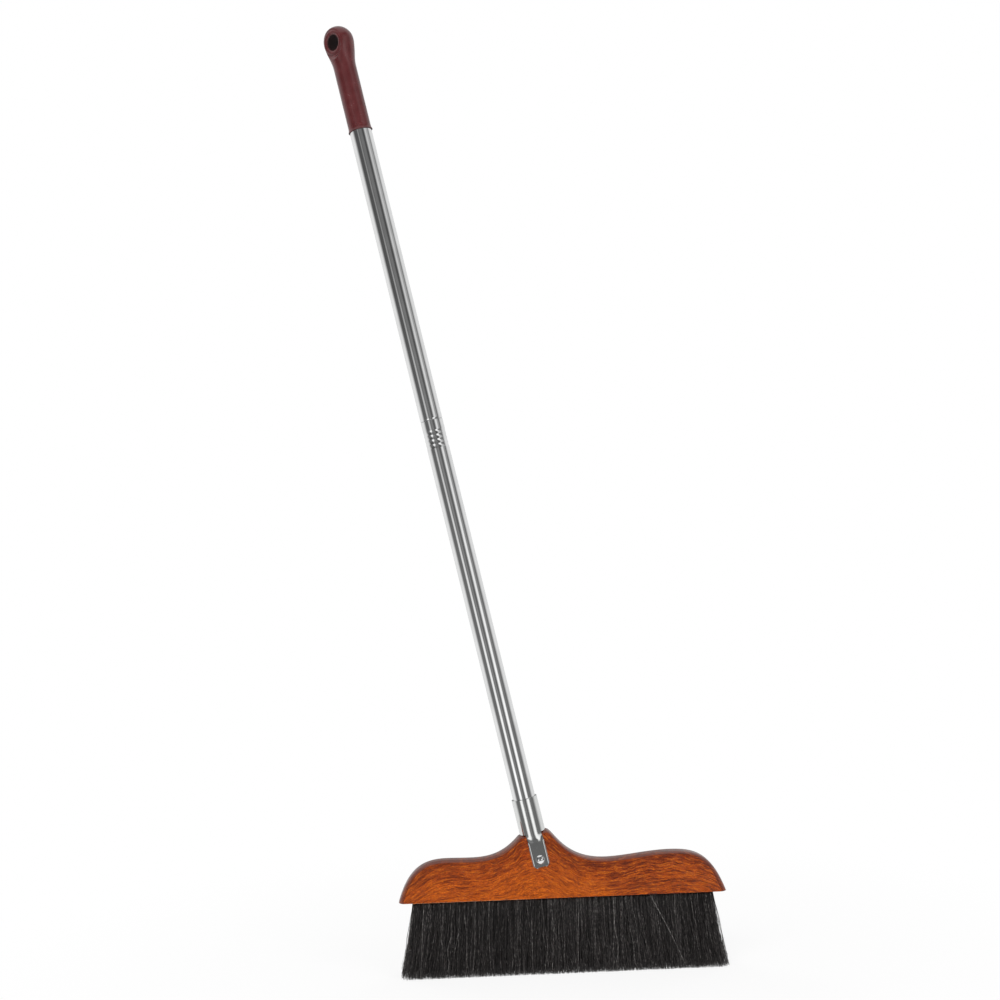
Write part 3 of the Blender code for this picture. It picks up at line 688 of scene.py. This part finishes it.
def hair_lines(hairs, rings, spread):
    """Each hair's middle line: straight down from its root, and in small waves out to its tip."""
    roots, tips, waves = hairs["roots"], hairs["tips"], hairs["waves"]
    t = np.linspace(0, 1, rings)[None, :, None]
    ease = t ** np.reshape(spread, (-1, 1, 1))
    across = (tips - roots)[:, None, :2]
    line = np.empty((len(roots), rings, 3))
    line[:, :, :2] = roots[:, None, :2] + across * ease + hairs["bends"][:, None, :] * np.sin(np.pi * t)
    number, phase, size = waves[:, None, 0:1], waves[:, None, 1:2], waves[:, None, 2:4]
    swing = np.sin(2 * np.pi * (number * t + phase)) - np.sin(2 * np.pi * phase)
    line[:, :, :2] += swing * t * size
    line[:, :, 0] = np.clip(line[:, :, 0], *HAIR_LIMITS)
    line[:, :, 1] = np.clip(line[:, :, 1], -HAIR_DEPTH_LIMIT, HAIR_DEPTH_LIMIT)
    line[:, :, 2:] = roots[:, None, 2:] + (tips - roots)[:, None, 2:] * t
    return line


def hair_points(line, spins, widths):
    """Three corners round each point of the middle lines."""
    count, rings = line.shape[:2]
    angles = spins[:, None, None] + np.array([0, 2, 4]) * np.pi / 3
    radius = widths[:, None, None] * (1.0 - HAIR_TAPER * np.linspace(0, 1, rings)[None, :, None])
    ring = np.stack([radius * np.cos(angles), radius * np.sin(angles), np.zeros((count, rings, 3))], -1)
    return (line[:, :, None, :] + ring).reshape(-1, 3)


def hair_faces(count, rings):
    """The hairs' sides as faces of four corners, and their two ends as faces of three."""
    upper = (np.arange(count) * rings * 3)[:, None, None] + (np.arange(rings - 1) * 3)[None, :, None]
    lower = upper + 3
    side = np.arange(3)
    following = (side + 1) % 3
    sides = np.stack([upper + side, lower + side, lower + following, upper + following], -1)
    first = np.arange(count) * rings * 3
    last = first + (rings - 1) * 3
    roots = np.stack([first, first + 1, first + 2], -1)
    tips = np.stack([last + 2, last + 1, last], -1)
    return sides.reshape(-1, 4), np.concatenate([roots, tips])


def mesh_from_arrays(name, points, fours, threes):
    mesh = bpy.data.meshes.new(name)
    mesh.vertices.add(len(points))
    mesh.vertices.foreach_set("co", points.ravel())
    loops = np.concatenate([fours.ravel(), threes.ravel()])
    starts = np.concatenate([np.arange(len(fours)) * 4, len(fours) * 4 + np.arange(len(threes)) * 3])
    mesh.loops.add(len(loops))
    mesh.loops.foreach_set("vertex_index", loops)
    mesh.polygons.add(len(starts))
    mesh.polygons.foreach_set("loop_start", starts)
    mesh.update(calc_edges=True)
    mesh.validate()
    return mesh


def mark_hairs(mesh, tone, along):
    """Stores each point's tone and its place along its hair, for the material and as a map to bake on."""
    for label, values in (("tone", tone), ("along", along)):
        layer = mesh.attributes.new(label, "FLOAT", "POINT")
        layer.data.foreach_set("value", values)
    places = mesh.uv_layers.new(name="OFBake")
    corners = np.empty(len(mesh.loops), dtype=np.int32)
    mesh.loops.foreach_get("vertex_index", corners)
    nudge = 0.0012 * (corners % 3)
    u, v = 0.01 + 0.97 * tone[corners] + nudge, 0.01 + 0.98 * along[corners]
    places.data.foreach_set("uv", np.stack([u, v], -1).ravel())


def hair_object(name, hairs, rings, spread):
    """One mesh of three-sided hairs that taper to their tips."""
    line = hair_lines(hairs, rings, spread)
    count = len(line)
    points = hair_points(line, hairs["spins"], hairs["widths"])
    mesh = mesh_from_arrays(name, points, *hair_faces(count, rings))
    tone = np.repeat(hairs["tones"], rings * 3).astype(np.float32)
    along = np.tile(np.repeat(np.linspace(0, 1, rings), 3), count).astype(np.float32)
    mark_hairs(mesh, tone, along)
    mesh.shade_smooth()
    return link(bpy.data.objects.new(name, mesh))


def tuft_centres(row):
    """Where the drilled tufts of a row stand, every other row shifted by half a pitch."""
    shift = TUFT_PITCH / 2 if row % 2 else 0.0
    count = int((TUFT_REACH - shift) / TUFT_PITCH)
    if row % 2:
        return [shift + i * TUFT_PITCH for i in range(-count - 1, count + 1)]
    return [i * TUFT_PITCH for i in range(-count, count + 1)]


def hair_ends(rng, centres, row):
    """The roots of a row's hairs, in their tufts, and the tips, merged into an even brush and cut level."""
    count = len(centres)
    offset = np.sqrt(rng.random(count)) * TUFT_RADIUS
    turn = rng.random(count) * 2 * np.pi
    along, aside = offset * np.cos(turn), offset * np.sin(turn)
    root_x = centres + along * 1.2 + rng.normal(0, 0.0021, count)
    root_x = np.clip(root_x, -ROOT_LIMIT, ROOT_LIMIT)
    root_y = (row - 2) * ROOT_ROWS + aside * 0.62
    tip_x = centres * 1.058 + along * 1.5 + rng.normal(0, 0.0042, count)
    # The outer hairs lean out, more so on the right
    edge = np.clip(np.abs(centres) / TUFT_REACH, 0, 1) ** 6
    outwards = np.where(centres < 0, 0.0006, 0.0024)
    tip_x += np.sign(centres) * edge * np.abs(rng.normal(outwards, 0.0011, count))
    tip_x = np.clip(tip_x, *TIP_LIMITS)
    tip_y = (row - 2) * TIP_ROWS + aside * 1.4 + rng.normal(0, 0.0009, count)
    tip_y = np.clip(tip_y, -TIP_DEPTH_LIMIT, TIP_DEPTH_LIMIT)
    # A few in a hundred end up to 2 mm short of the floor
    short = np.abs(rng.normal(0, 0.00025, count)) + (rng.random(count) < 0.03) * rng.random(count) * 0.002
    roots = np.stack([root_x, root_y, np.full(count, WOOD_BOTTOM + 0.001)], -1)
    return roots, np.stack([tip_x, tip_y, LOWEST_TIP + short], -1)


def bristle_row(row, look):
    """One row of hairs, each with its own tone, bend, waves, turn and width."""
    rng = np.random.default_rng(40 + row)
    centres = np.repeat(np.array(tuft_centres(row)), HAIRS_PER_TUFT)
    count = len(centres)
    roots, tips = hair_ends(rng, centres, row)
    hairs = {"roots": roots, "tips": tips, "tones": rng.random(count)}
    hairs["bends"] = rng.normal(0, 1, (count, 2)) * np.array([0.0010, 0.0006])
    numbers_and_phases = np.stack([rng.uniform(0.8, 2.6, count), rng.random(count)], -1)
    sizes = rng.normal(0, 1, (count, 2)) * np.array([0.0010, 0.0007])
    hairs["waves"] = np.concatenate([numbers_and_phases, sizes], -1)
    hairs["spins"] = rng.random(count) * 2 * np.pi
    hairs["widths"] = rng.uniform(0.00011, 0.00020, count)
    obj = hair_object(f"bristle_row_{row + 1}_hair", hairs, rings=9, spread=1.25)
    settle(obj, look, ROOT_BODY, f"bristle_row_{row + 1}", slot="black_bristle")


def stray_hairs(look):
    """A few loose hairs: one long pale one across the front and some that stand off the two ends."""
    rng = np.random.default_rng(9)
    roots = [(0.0845, -0.0095, WOOD_BOTTOM)]
    tips = [(0.1165, -0.0175, 0.0022)]
    tones, bends = [1.0], [(0.0016, -0.0008)]
    for i in range(OTHER_STRAYS):
        side = 1 if i % 3 else -1
        root_x = side * rng.uniform(0.136, 0.1475)
        tip_x = side * rng.uniform(0.1575, 0.1602)
        roots.append((root_x, rng.uniform(-0.008, 0.006), WOOD_BOTTOM))
        tips.append((tip_x, rng.uniform(-0.016, 0.012), rng.uniform(0.0008, 0.012)))
        tones.append(rng.uniform(0.8, 0.985))
        bends.append((side * rng.uniform(-0.001, 0.0012), rng.uniform(-0.0008, 0.0008)))
    lists = {"roots": roots, "tips": tips, "tones": tones, "bends": bends}
    hairs = {key: np.array(values, dtype=float) for key, values in lists.items()}
    count = OTHER_STRAYS + 1
    numbers, phases = rng.uniform(0.5, 1.2, count), rng.random(count)
    sizes = [rng.normal(0, 0.0003, count) for _ in range(2)]
    hairs["waves"] = np.stack([numbers, phases, *sizes], -1)
    hairs["spins"] = rng.random(count) * 2 * np.pi
    hairs["widths"] = np.array([0.00022] + [0.00013] * OTHER_STRAYS)
    spread = np.array([1.05] + [2.0] * OTHER_STRAYS)
    obj = hair_object("bristle_stray_hairs", hairs, rings=12, spread=spread)
    obj.data.materials.append(look)
    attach(obj, ROOT_BODY)


# The strap socket and its rivet

STRAP_SHIFT = 0.0007  # the straps and the rivet sit a little to the right of the handle's axis
STRAP_BEND = 0.0135  # how far below the sleeve the strap is flat
TURNED_EDGE = 0.00085  # how far the strap's long edges are turned over
TURNED_FROM = 0.90  # the share of the strap's half width where that begins
SLEEVE_ROWS = 24
GAP_COLUMNS = 30
STRAP_SHARES = [-1, -0.95, -0.90, *(-0.84 + 1.68 * i / 14 for i in range(15)), 0.90, 0.95, 1]


def eased(value, low, high):
    """0 at low, 1 at high and smooth between them."""
    share = min(max((value - low) / (high - low), 0), 1)
    return share * share * (3 - 2 * share)


def strap_place(share, half, drop, side):
    """A point on the strap's middle surface, at a share of its half width.

    It is round like the sleeve at its top and flattens below, its edges first. They turn over to the wood.
    """
    radius = SLEEVE_MID_RADIUS
    spread = eased(drop, 0, 0.003)
    x = half * share * spread + radius * math.sin(half * share / radius) * (1 - spread)
    edge_flat, middle_flat = eased(drop, 0, 0.0074), eased(drop, 0.003, 0.0108)
    flat = middle_flat + (edge_flat - middle_flat) * share * share
    round_depth = math.sqrt(radius**2 - x**2)
    depth = round_depth + (STRAP_FLAT - round_depth) * flat
    depth -= TURNED_EDGE * max(abs(share) - TURNED_FROM, 0) / (1 - TURNED_FROM) * eased(drop, 0.006, 0.010)
    shift = STRAP_SHIFT * eased(drop, 0, 0.006)
    return (side * x + shift, -side * depth, -drop)


def strap_half(drop):
    """Half the strap's width, less in its rounded end."""
    into = drop - (STRAP_LENGTH - STRAP_CORNER)
    if into <= 0:
        return STRAP_HALF_WIDTH
    return STRAP_HALF_WIDTH - STRAP_CORNER + math.sqrt(max(STRAP_CORNER**2 - into**2, 0))


def strap_drops():
    """How far below the sleeve the strap's rows of points lie: in its bend, its flat and its rounded end."""
    straight = STRAP_LENGTH - STRAP_CORNER
    bend = [STRAP_BEND * i / 30 for i in range(1, 31)]
    flat = [STRAP_BEND + (straight - STRAP_BEND) * i / 10 for i in range(1, 11)]
    return bend + flat + [straight + STRAP_CORNER * math.sin(math.pi / 2 * i / 8) for i in range(1, 9)]


def sleeve_turns():
    """The directions of the sleeve's columns: those of the straps, with even ones in the gaps between."""
    edge = STRAP_HALF_WIDTH / SLEEVE_MID_RADIUS
    front = [edge * share for share in STRAP_SHARES[:-1]]
    right = [edge + (math.pi - 2 * edge) * i / GAP_COLUMNS for i in range(GAP_COLUMNS)]
    return front + right + [turn + math.pi for turn in front + right]


def socket_sheet():
    """The points and faces of the sleeve, and of the two straps that run on from a band of its columns."""
    radius, turns = SLEEVE_MID_RADIUS, sleeve_turns()
    count, strap_columns = len(turns), len(STRAP_SHARES) - 1
    points, faces = [], []
    for row in range(SLEEVE_ROWS + 1):
        height = SLEEVE_LENGTH - (SLEEVE_LENGTH - GAP) * row / SLEEVE_ROWS
        points += [(radius * math.sin(turn), -radius * math.cos(turn), height) for turn in turns]
    for row in range(SLEEVE_ROWS):
        for i in range(count):
            a, b, j = row * count, (row + 1) * count, (i + 1) % count
            faces.append((a + i, b + i, b + j, a + j))
    for side, start in ((1, 0), (-1, count // 2)):
        above = [SLEEVE_ROWS * count + (start + i) % count for i in range(strap_columns + 1)]
        for drop in strap_drops():
            below = range(len(points), len(points) + strap_columns + 1)
            points += [strap_place(share, strap_half(drop), drop, side) for share in STRAP_SHARES]
            faces += [(above[i], below[i], below[i + 1], above[i + 1]) for i in range(strap_columns)]
            above = below
    return points, faces


def socket_piece(look):
    """The socket as one pressed sheet with rounded edges."""
    obj = mesh_object("strap_socket_sheet", *socket_sheet(), HANDLE)
    solid = obj.modifiers.new("thickness", "SOLIDIFY")
    solid.thickness, solid.offset = (SLEEVE_WALL + STRAP_THICKNESS) / 2, 0
    solid.use_even_offset = True
    round_edges(obj, 0.00042, 4, 50)
    evenly_smooth(obj, 50)
    settle(obj, look, ROOT_BODY, "strap_socket", slot="bright_plate")


def rivet_piece(look):
    """The rivet: a shank through the wood with a low dome on each strap."""
    seat = STRAP_FLAT + STRAP_THICKNESS / 2 + 0.00012
    head, height, shank = 0.00435, 0.0023, 0.0025
    rim = 0.00045
    ball = (head**2 + (height - rim) ** 2) / (2 * (height - rim))
    top = math.asin(head / ball)
    dome = []
    for i in range(17):
        turn = top * i / 16
        dome.append((ball * math.sin(turn), seat + height - ball * (1 - math.cos(turn))))
    dome[-1] = (head, seat + rim)
    outer = dome + [(head, seat + 0.0001), (head - 0.0001, seat), (shank, seat)]
    profile = outer + [(radius, -level) for radius, level in reversed(outer)]
    matrix = HANDLE @ Matrix.Translation((STRAP_SHIFT, 0, -RIVET_DROP)) @ Matrix.Rotation(math.pi / 2, 4, "X")
    obj = smooth(lathe("socket_rivet_domed", profile, 64, matrix), 35)
    settle(obj, look, ROOT_BODY, "socket_rivet", slot="rivet_steel")


# The tubes and their inserts

EDGE = 0.0002  # the rounding of the tubes' cut ends
GROOVE_DEPTH = 0.00028
GROOVE_WIDTH = 0.0044
GROOVE_PITCH = 0.00463
GROOVE_DROP = 0.0124  # from the seam to the top groove's middle
FOOT_DRAW = 0.00017  # how far the upper tube's foot is rolled in
STEM_RADIUS = 0.006
THREAD_CREST = 0.0006
THREAD_PITCH = 0.004
THREAD_FADE = 0.002


def groove_side(radius):
    """The rolled grooves in a wall, from the top one down: wide round dips with narrow ridges between."""
    points, steps = [], 24
    for groove in range(4):
        middle = SEAM - GROOVE_DROP - groove * GROOVE_PITCH
        for i in range(steps + 1):
            share = 2 * i / steps - 1
            points.append((radius - GROOVE_DEPTH * (1 - share * share), middle - GROOVE_WIDTH / 2 * share))
    return points


def lower_tube_piece(look):
    top, bottom, inner = SEAM - GAP / 2, GAP, TUBE_INNER
    rim = arc((TUBE_RADIUS - EDGE, top - EDGE), EDGE, 90, 0, 5)
    outer = rim + groove_side(TUBE_RADIUS) + [(TUBE_RADIUS, bottom)]
    inside = [(inner, bottom), *reversed(groove_side(inner)), (inner, top - EDGE), (inner + EDGE, top)]
    obj = evenly_smooth(lathe("lower_tube_steel", outer + inside, 112, closed=True), 35)
    settle(obj, look, ROOT_BODY, "lower_tube", slot="tube_steel")


def upper_tube_piece(look):
    """The upper tube, with a slimmer end inside the grip and a foot that is rolled in a little."""
    top, bottom, step = GRIP_RIM + 0.060, SEAM + GAP / 2, GRIP_RIM + GAP
    inner, slim = TUBE_INNER, TUBE_RADIUS - TUBE_STEP
    outer = [(slim, top), (slim, step + 0.0017), (slim + 0.0003, step + 0.0011), (TUBE_RADIUS, step)]
    for i in range(7):
        outer.append((TUBE_RADIUS - FOOT_DRAW * i / 6, bottom + 0.0016 - 0.0014 * i / 6))
    outer += arc((TUBE_RADIUS - FOOT_DRAW - EDGE, bottom + EDGE), EDGE, -10, -90, 5)
    inside = [(inner + EDGE, bottom), (inner, bottom + EDGE), (inner, step)]
    inside += [(inner - TUBE_STEP, step + 0.0017), (inner - TUBE_STEP, top)]
    obj = evenly_smooth(lathe("upper_tube_steel", outer + inside, 112, closed=True), 35)
    settle(obj, look, UPPER_BODY, "upper_tube", slot="tube_steel")


def socket_insert_piece(look):
    radius, bore, bore_edge = TUBE_INNER - GAP, 0.0069, 0.0006
    top, bottom = SEAM - GAP / 2, SEAM - 0.034
    outer = [(radius - EDGE, top), (radius, top - EDGE)] + groove_side(radius) + [(radius, bottom)]
    inner = [(bore, bottom), (bore, top - bore_edge), (bore + bore_edge, top)]
    obj = smooth(lathe("threaded_socket_plastic", outer + inner, 96, closed=True), 35)
    settle(obj, look, ROOT_BODY, "threaded_socket", slot="insert_plastic")


def thread_rise(height, turn, start, stop):
    """How far the thread stands over the stem: a smooth right-hand ridge that fades at both ends."""
    phase = (height - start) / THREAD_PITCH - turn / (2 * math.pi)
    ridge = max(0.0, math.cos(2 * math.pi * phase)) ** 1.5
    fade_in = min(max((height - start) / THREAD_FADE, 0), 1)
    fade_out = min(max((stop - height) / THREAD_FADE, 0), 1)
    return THREAD_CREST * ridge * (fade_in * fade_out)


def spigot_piece(look):
    """The threaded spigot: a plug with a small shoulder and a stem with one continuous thread."""
    plug, plug_edge, stem_edge = TUBE_INNER - GAP, 0.0004, 0.0008
    seam, bottom, top = SEAM + GAP / 2, SEAM - 0.028, SEAM + 0.026
    start, stop = SEAM - 0.0245, SEAM - 0.0025
    profile = [(0.0, top), (plug - plug_edge, top), (plug, top - plug_edge), (plug, seam)]
    profile += [(STEM_RADIUS, seam - 0.0278 * i / 150) for i in range(151)]
    profile += [(STEM_RADIUS - stem_edge, bottom), (0.0, bottom)]
    obj = lathe("threaded_spigot_plastic", profile, 72, matrix=None)
    for vertex in obj.data.vertices:
        x, y, z = vertex.co
        if abs(math.hypot(x, y) - STEM_RADIUS) < 1e-5 and start < z < stop:
            grow = 1 + thread_rise(z, math.atan2(y, x), start, stop) / STEM_RADIUS
            vertex.co = (x * grow, y * grow, z)
    obj.data.transform(HANDLE)
    smooth(obj, 45)
    settle(obj, look, THREAD_BODY, "threaded_spigot", slot="insert_plastic")


# The grip

NECK_LENGTH = 0.027
LIP_RADIUS = 0.0123
LIP_HEIGHT = 0.0046
HOLE_ROUNDING = 0.0030


def grip_side():
    """The grip's outer side from its round end to its rim, without the rim's lip."""
    turns = [math.radians(degrees) for degrees in range(0, 91, 3)]
    outer = [(BULB_RADIUS * math.sin(t), BULB_MIDDLE + BULB_RADIUS * math.cos(t)) for t in turns]
    for i in range(1, 25):
        swell = (1 + math.cos(math.pi * i / 24)) / 2
        radius = BARREL_RADIUS + (BULB_RADIUS - BARREL_RADIUS) * swell
        outer.append((radius, BULB_MIDDLE - NECK_LENGTH * i / 24))
    return outer + [(BARREL_RADIUS, GRIP_RIM + 0.0003)]


def grip_bore():
    """The grip's inner side, with a step like the tube's."""
    tube_end, step = GRIP_RIM + 0.0603, GRIP_RIM + 0.0006
    bore, slim = TUBE_RADIUS + GAP, TUBE_RADIUS - TUBE_STEP + GAP
    return [(bore, GRIP_RIM + 0.0003), (bore, step), (slim, step + 0.0017), (slim, tube_end), (0, tube_end)]


def hole_cutter():
    """The hanging hole: a straight bore with a rim that rounds over into the bulb on both sides."""
    middle = HOLE_RADIUS + HOLE_ROUNDING
    height = math.sqrt((BULB_RADIUS - HOLE_ROUNDING) ** 2 - middle**2)
    tangent = math.degrees(math.atan2(height, middle))
    curve = arc((middle, height), HOLE_ROUNDING, 180, tangent, 14)
    beyond = BULB_RADIUS + 0.004
    edge_radius, edge_height = curve[-1]
    upper = [(0, beyond), (edge_radius * beyond / edge_height, beyond), *reversed(curve)]
    profile = upper + [(r, -h) for r, h in reversed(upper)]
    turn = Matrix.Rotation(-HOLE_TURN, 4, "Z") @ Matrix.Rotation(math.pi / 2, 4, "X")
    return lathe("hole_cutter", profile, 96, HANDLE @ Matrix.Translation((0, 0, HOLE_HEIGHT)) @ turn)


def grip_lip():
    """The flared lip at the grip's rim, which grows out of the barrel."""
    top, bottom, bore, edge = GRIP_RIM + LIP_HEIGHT, GRIP_RIM, TUBE_RADIUS + GAP, 0.0005
    points = [(0.01125, top + 0.0003), (BARREL_RADIUS - 0.00003, top)]
    for i in range(1, 13):
        share = i / 12
        flare = (LIP_RADIUS - BARREL_RADIUS - 0.0001) * share**2.2
        points.append((BARREL_RADIUS + flare, top - (top - bottom - 0.0007) * share))
    points += arc((LIP_RADIUS - edge, bottom + edge), edge, 10, -90, 6)
    return points + [(bore + 0.0003, bottom), (bore, bottom + 0.0003), (0.0113, top)]


def grip_piece(look):
    """The grip: a turned body with its hole cut, remeshed to soften the hole's rim, and a crisp lip."""
    obj = lathe("grip_moulding", grip_side() + grip_bore(), 128)
    cutter = hole_cutter()
    hole = obj.modifiers.new("hole", "BOOLEAN")
    hole.operation, hole.object = "DIFFERENCE", cutter
    applied(obj)
    remesh = obj.modifiers.new("even mesh", "REMESH")
    remesh.mode, remesh.voxel_size = "VOXEL", 0.00044
    soften = obj.modifiers.new("soften", "SMOOTH")
    soften.factor, soften.iterations = 0.5, 9
    applied(obj)
    bpy.data.objects.remove(cutter)
    join(obj, lathe("grip_lip", grip_lip(), 128, closed=True))
    smooth(obj, 50)
    settle(obj, look, UPPER_BODY, "grip", slot="grip_plastic")


# The studio

# Its soft boxes: where each stands in degrees round the handle, half its width, how soft its edges
# are and how bright it is, each first as mirrored low on the handle and then as mirrored high on it
SOFT_BOXES = {
    "left_strip": ((-35, -31), (12, 8), (9, 8), (1.22, 0.30)),
    "left_spill": ((-10, -4), (6, 20), (10, 12), (0.30, 0.18)),
    "right_strip": ((26, 50), (13, 14), (10, 12), (1.20, 0.62)),
    "right_spill": ((55, 68), (5, 12), (12, 12), (0.27, 0.46)),
}

# The lights on dull surfaces: place, width and height, power
LIGHTS = {
    "key": ((-1.3, -2.0, 1.9), (1.4, 1.4), 38),
    "fill": ((1.7, -1.9, 1.2), (1.4, 1.6), 24),
    "back_left": ((-1.5, 2.0, 1.6), (1.3, 1.3), 13),
    "back_right": ((1.6, 1.9, 1.5), (1.3, 1.3), 11),
}
LIT_PLACE = Vector((-0.05, 0, 0.4))
WHITE = (1, 1, 1, 1)
FILL_LEVEL = 0.55


def studio_direction(tree):
    """A direction as degrees round the handle, 0 at the broom's front, and as a height along the handle."""
    where = put(tree, "ShaderNodeTexCoord").outputs["Generated"]
    sideways = vector_calc("DOT_PRODUCT", where, (math.cos(LEAN), 0, math.sin(LEAN)))
    height = vector_calc("DOT_PRODUCT", where, (-math.sin(LEAN), 0, math.cos(LEAN)))
    forward = vector_calc("DOT_PRODUCT", where, (0, -1, 0))
    return times(calc("ARCTAN2", sideways, forward), 180 / math.pi), height


def soft_box(degrees, lift, places, widths, edges, levels):
    """The light of one soft box, which may lean, widen and fade towards its top."""
    centre, half, edge, level = (
        scaled(lift, high - low, low) for low, high in (places, widths, edges, levels)
    )
    away = calc("ABSOLUTE", calc("SUBTRACT", degrees, centre))
    inside = span(away, calc("ADD", half, edge), calc("SUBTRACT", half, edge))
    return times(inside, level)


def pale_walls(degrees, turned, lift):
    """The walls on both sides, which grow dimmer behind the broom."""
    left = span(degrees, scaled(lift, 8, -70), -108, 0, 0.86)
    right = span(degrees, scaled(lift, 6, 64), 106, 0, 0.80)
    return times(calc("MAXIMUM", left, right), span(turned, 152, 174, 1.0, 0.45))


def mirrored_level(tree):
    """How bright the studio is in each direction for gloss to mirror: dark, with soft boxes and pale walls.

    The soft boxes end above and below, where the pale ceiling and the floor in front begin.
    """
    degrees, height = studio_direction(tree)
    turned = calc("ABSOLUTE", degrees)
    lift = span(height, -0.16, 0.24, kind="LINEAR")
    boxes = 0.0
    for settings in SOFT_BOXES.values():
        boxes = calc("MAXIMUM", boxes, soft_box(degrees, lift, *settings))
    ends = times(span(height, 0.54, 0.46), span(height, -0.36, -0.28))
    dark = times(span(turned, 8, 40, 0.140, 0.165), span(lift, 0.3, 1.0, 1.0, 0.55))
    floor_in_front = times(span(height, -0.40, -0.52), span(turned, 84, 66, 0.0, 0.95))
    level = dark
    for brighter in (times(boxes, ends), pale_walls(degrees, turned, lift), floor_in_front):
        level = calc("MAXIMUM", level, brighter)
    overhead = span(height, 0.62, 0.80)
    below = times(level, calc("SUBTRACT", 1.0, overhead))
    return scaled(overhead, 0.85, below)


def build_world():
    """White to the camera, an even fill on dull surfaces, and a studio of soft boxes for gloss to mirror."""
    world = bpy.data.worlds.new("studio")
    bpy.context.scene.world = world
    world.use_nodes = True
    tree = world.node_tree
    tree.nodes.clear()
    mirrored = put(tree, "ShaderNodeBackground", {"Color": grey(mirrored_level(tree)), "Strength": 1.0})
    fill = put(tree, "ShaderNodeBackground", {"Color": WHITE, "Strength": FILL_LEVEL})
    seen = put(tree, "ShaderNodeBackground", {"Color": WHITE, "Strength": 1.0})
    ray = put(tree, "ShaderNodeLightPath").outputs
    gloss_mix = {0: ray["Is Glossy Ray"], 1: fill.outputs[0], 2: mirrored.outputs[0]}
    gloss = extend("ShaderNodeMixShader", gloss_mix)
    clear = calc("MAXIMUM", ray["Is Camera Ray"], ray["Is Transmission Ray"])
    final = extend("ShaderNodeMixShader", {0: clear, 1: gloss.outputs[0], 2: seen.outputs[0]})
    extend("ShaderNodeOutputWorld", {"Surface": final.outputs[0]})


def floor_material():
    """White paint that takes a soft shadow near the broom and shines plain white further out."""
    made = bpy.data.materials.new("floor_white")
    made.use_nodes = True
    tree = made.node_tree
    tree.nodes.clear()
    paint = put(tree, "ShaderNodeBsdfDiffuse", {"Color": (0.86, 0.86, 0.86, 1)})
    white = put(tree, "ShaderNodeEmission", {"Color": WHITE, "Strength": 1.0})
    away = vector_calc("LENGTH", put(tree, "ShaderNodeTexCoord").outputs["Object"])
    faded = span(away, 0.15, 0.7, 0.84, 1.0)
    share = times(put(tree, "ShaderNodeLightPath").outputs["Is Camera Ray"], faded)
    mixed = extend("ShaderNodeMixShader", {0: share, 1: paint.outputs[0], 2: white.outputs[0]})
    extend("ShaderNodeOutputMaterial", {"Surface": mixed.outputs[0]})
    return made


def build_floor():
    size, level = 6.0, -0.0001
    corners = [(-size, -size, level), (size, -size, level), (size, size, level), (-size, size, level)]
    floor = mesh_object("floor", corners, [(0, 1, 2, 3)])
    floor.data.materials.append(floor_material())
    floor.visible_glossy = False


def build_lights():
    for name, (place, size, power) in LIGHTS.items():
        data = bpy.data.lights.new(name, "AREA")
        data.shape = "RECTANGLE"
        data.size, data.size_y = size
        data.energy = power
        obj = link(bpy.data.objects.new(name, data))
        obj.location = place
        obj.rotation_euler = (LIT_PLACE - Vector(place)).to_track_quat("-Z", "Y").to_euler()
        obj.visible_glossy = False


def build_camera():
    data = bpy.data.cameras.new("camera")
    data.lens, data.sensor_width = CAMERA_LENS, CAMERA_SENSOR
    data.clip_start = 0.01
    camera = link(bpy.data.objects.new("camera", data))
    facing = Matrix.Rotation(CAMERA_TURN, 4, "Z") @ Matrix.Rotation(math.pi / 2 - CAMERA_PITCH, 4, "X")
    rolled = facing @ Matrix.Rotation(CAMERA_ROLL, 4, "Z")
    away = Matrix.Translation((0, 0, CAMERA_DISTANCE))
    camera.matrix_world = Matrix.Translation(CAMERA_TARGET) @ rolled @ away
    bpy.context.scene.camera = camera


def main():
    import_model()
    build_camera()
    build_world()
    build_floor()
    build_lights()
    bpy.context.scene.view_settings.view_transform = "Standard"
    hair = material("bristle_look", hair_inputs)
    head_piece(material("lacquered_wood_look", wood_inputs))
    for row in range(5):
        bristle_row(row, hair)
    stray_hairs(hair)
    tube = material("tube_look", metal_inputs, *METALS["tube"])
    socket_piece(material("strap_plate_look", metal_inputs, *METALS["plate"]))
    rivet_piece(material("rivet_look", metal_inputs, *METALS["rivet"]))
    lower_tube_piece(tube)
    upper_tube_piece(tube)
    insert = material("insert_look", insert_inputs)
    socket_insert_piece(insert)
    spigot_piece(insert)
    grip_piece(material("grip_look", grip_inputs))


main()
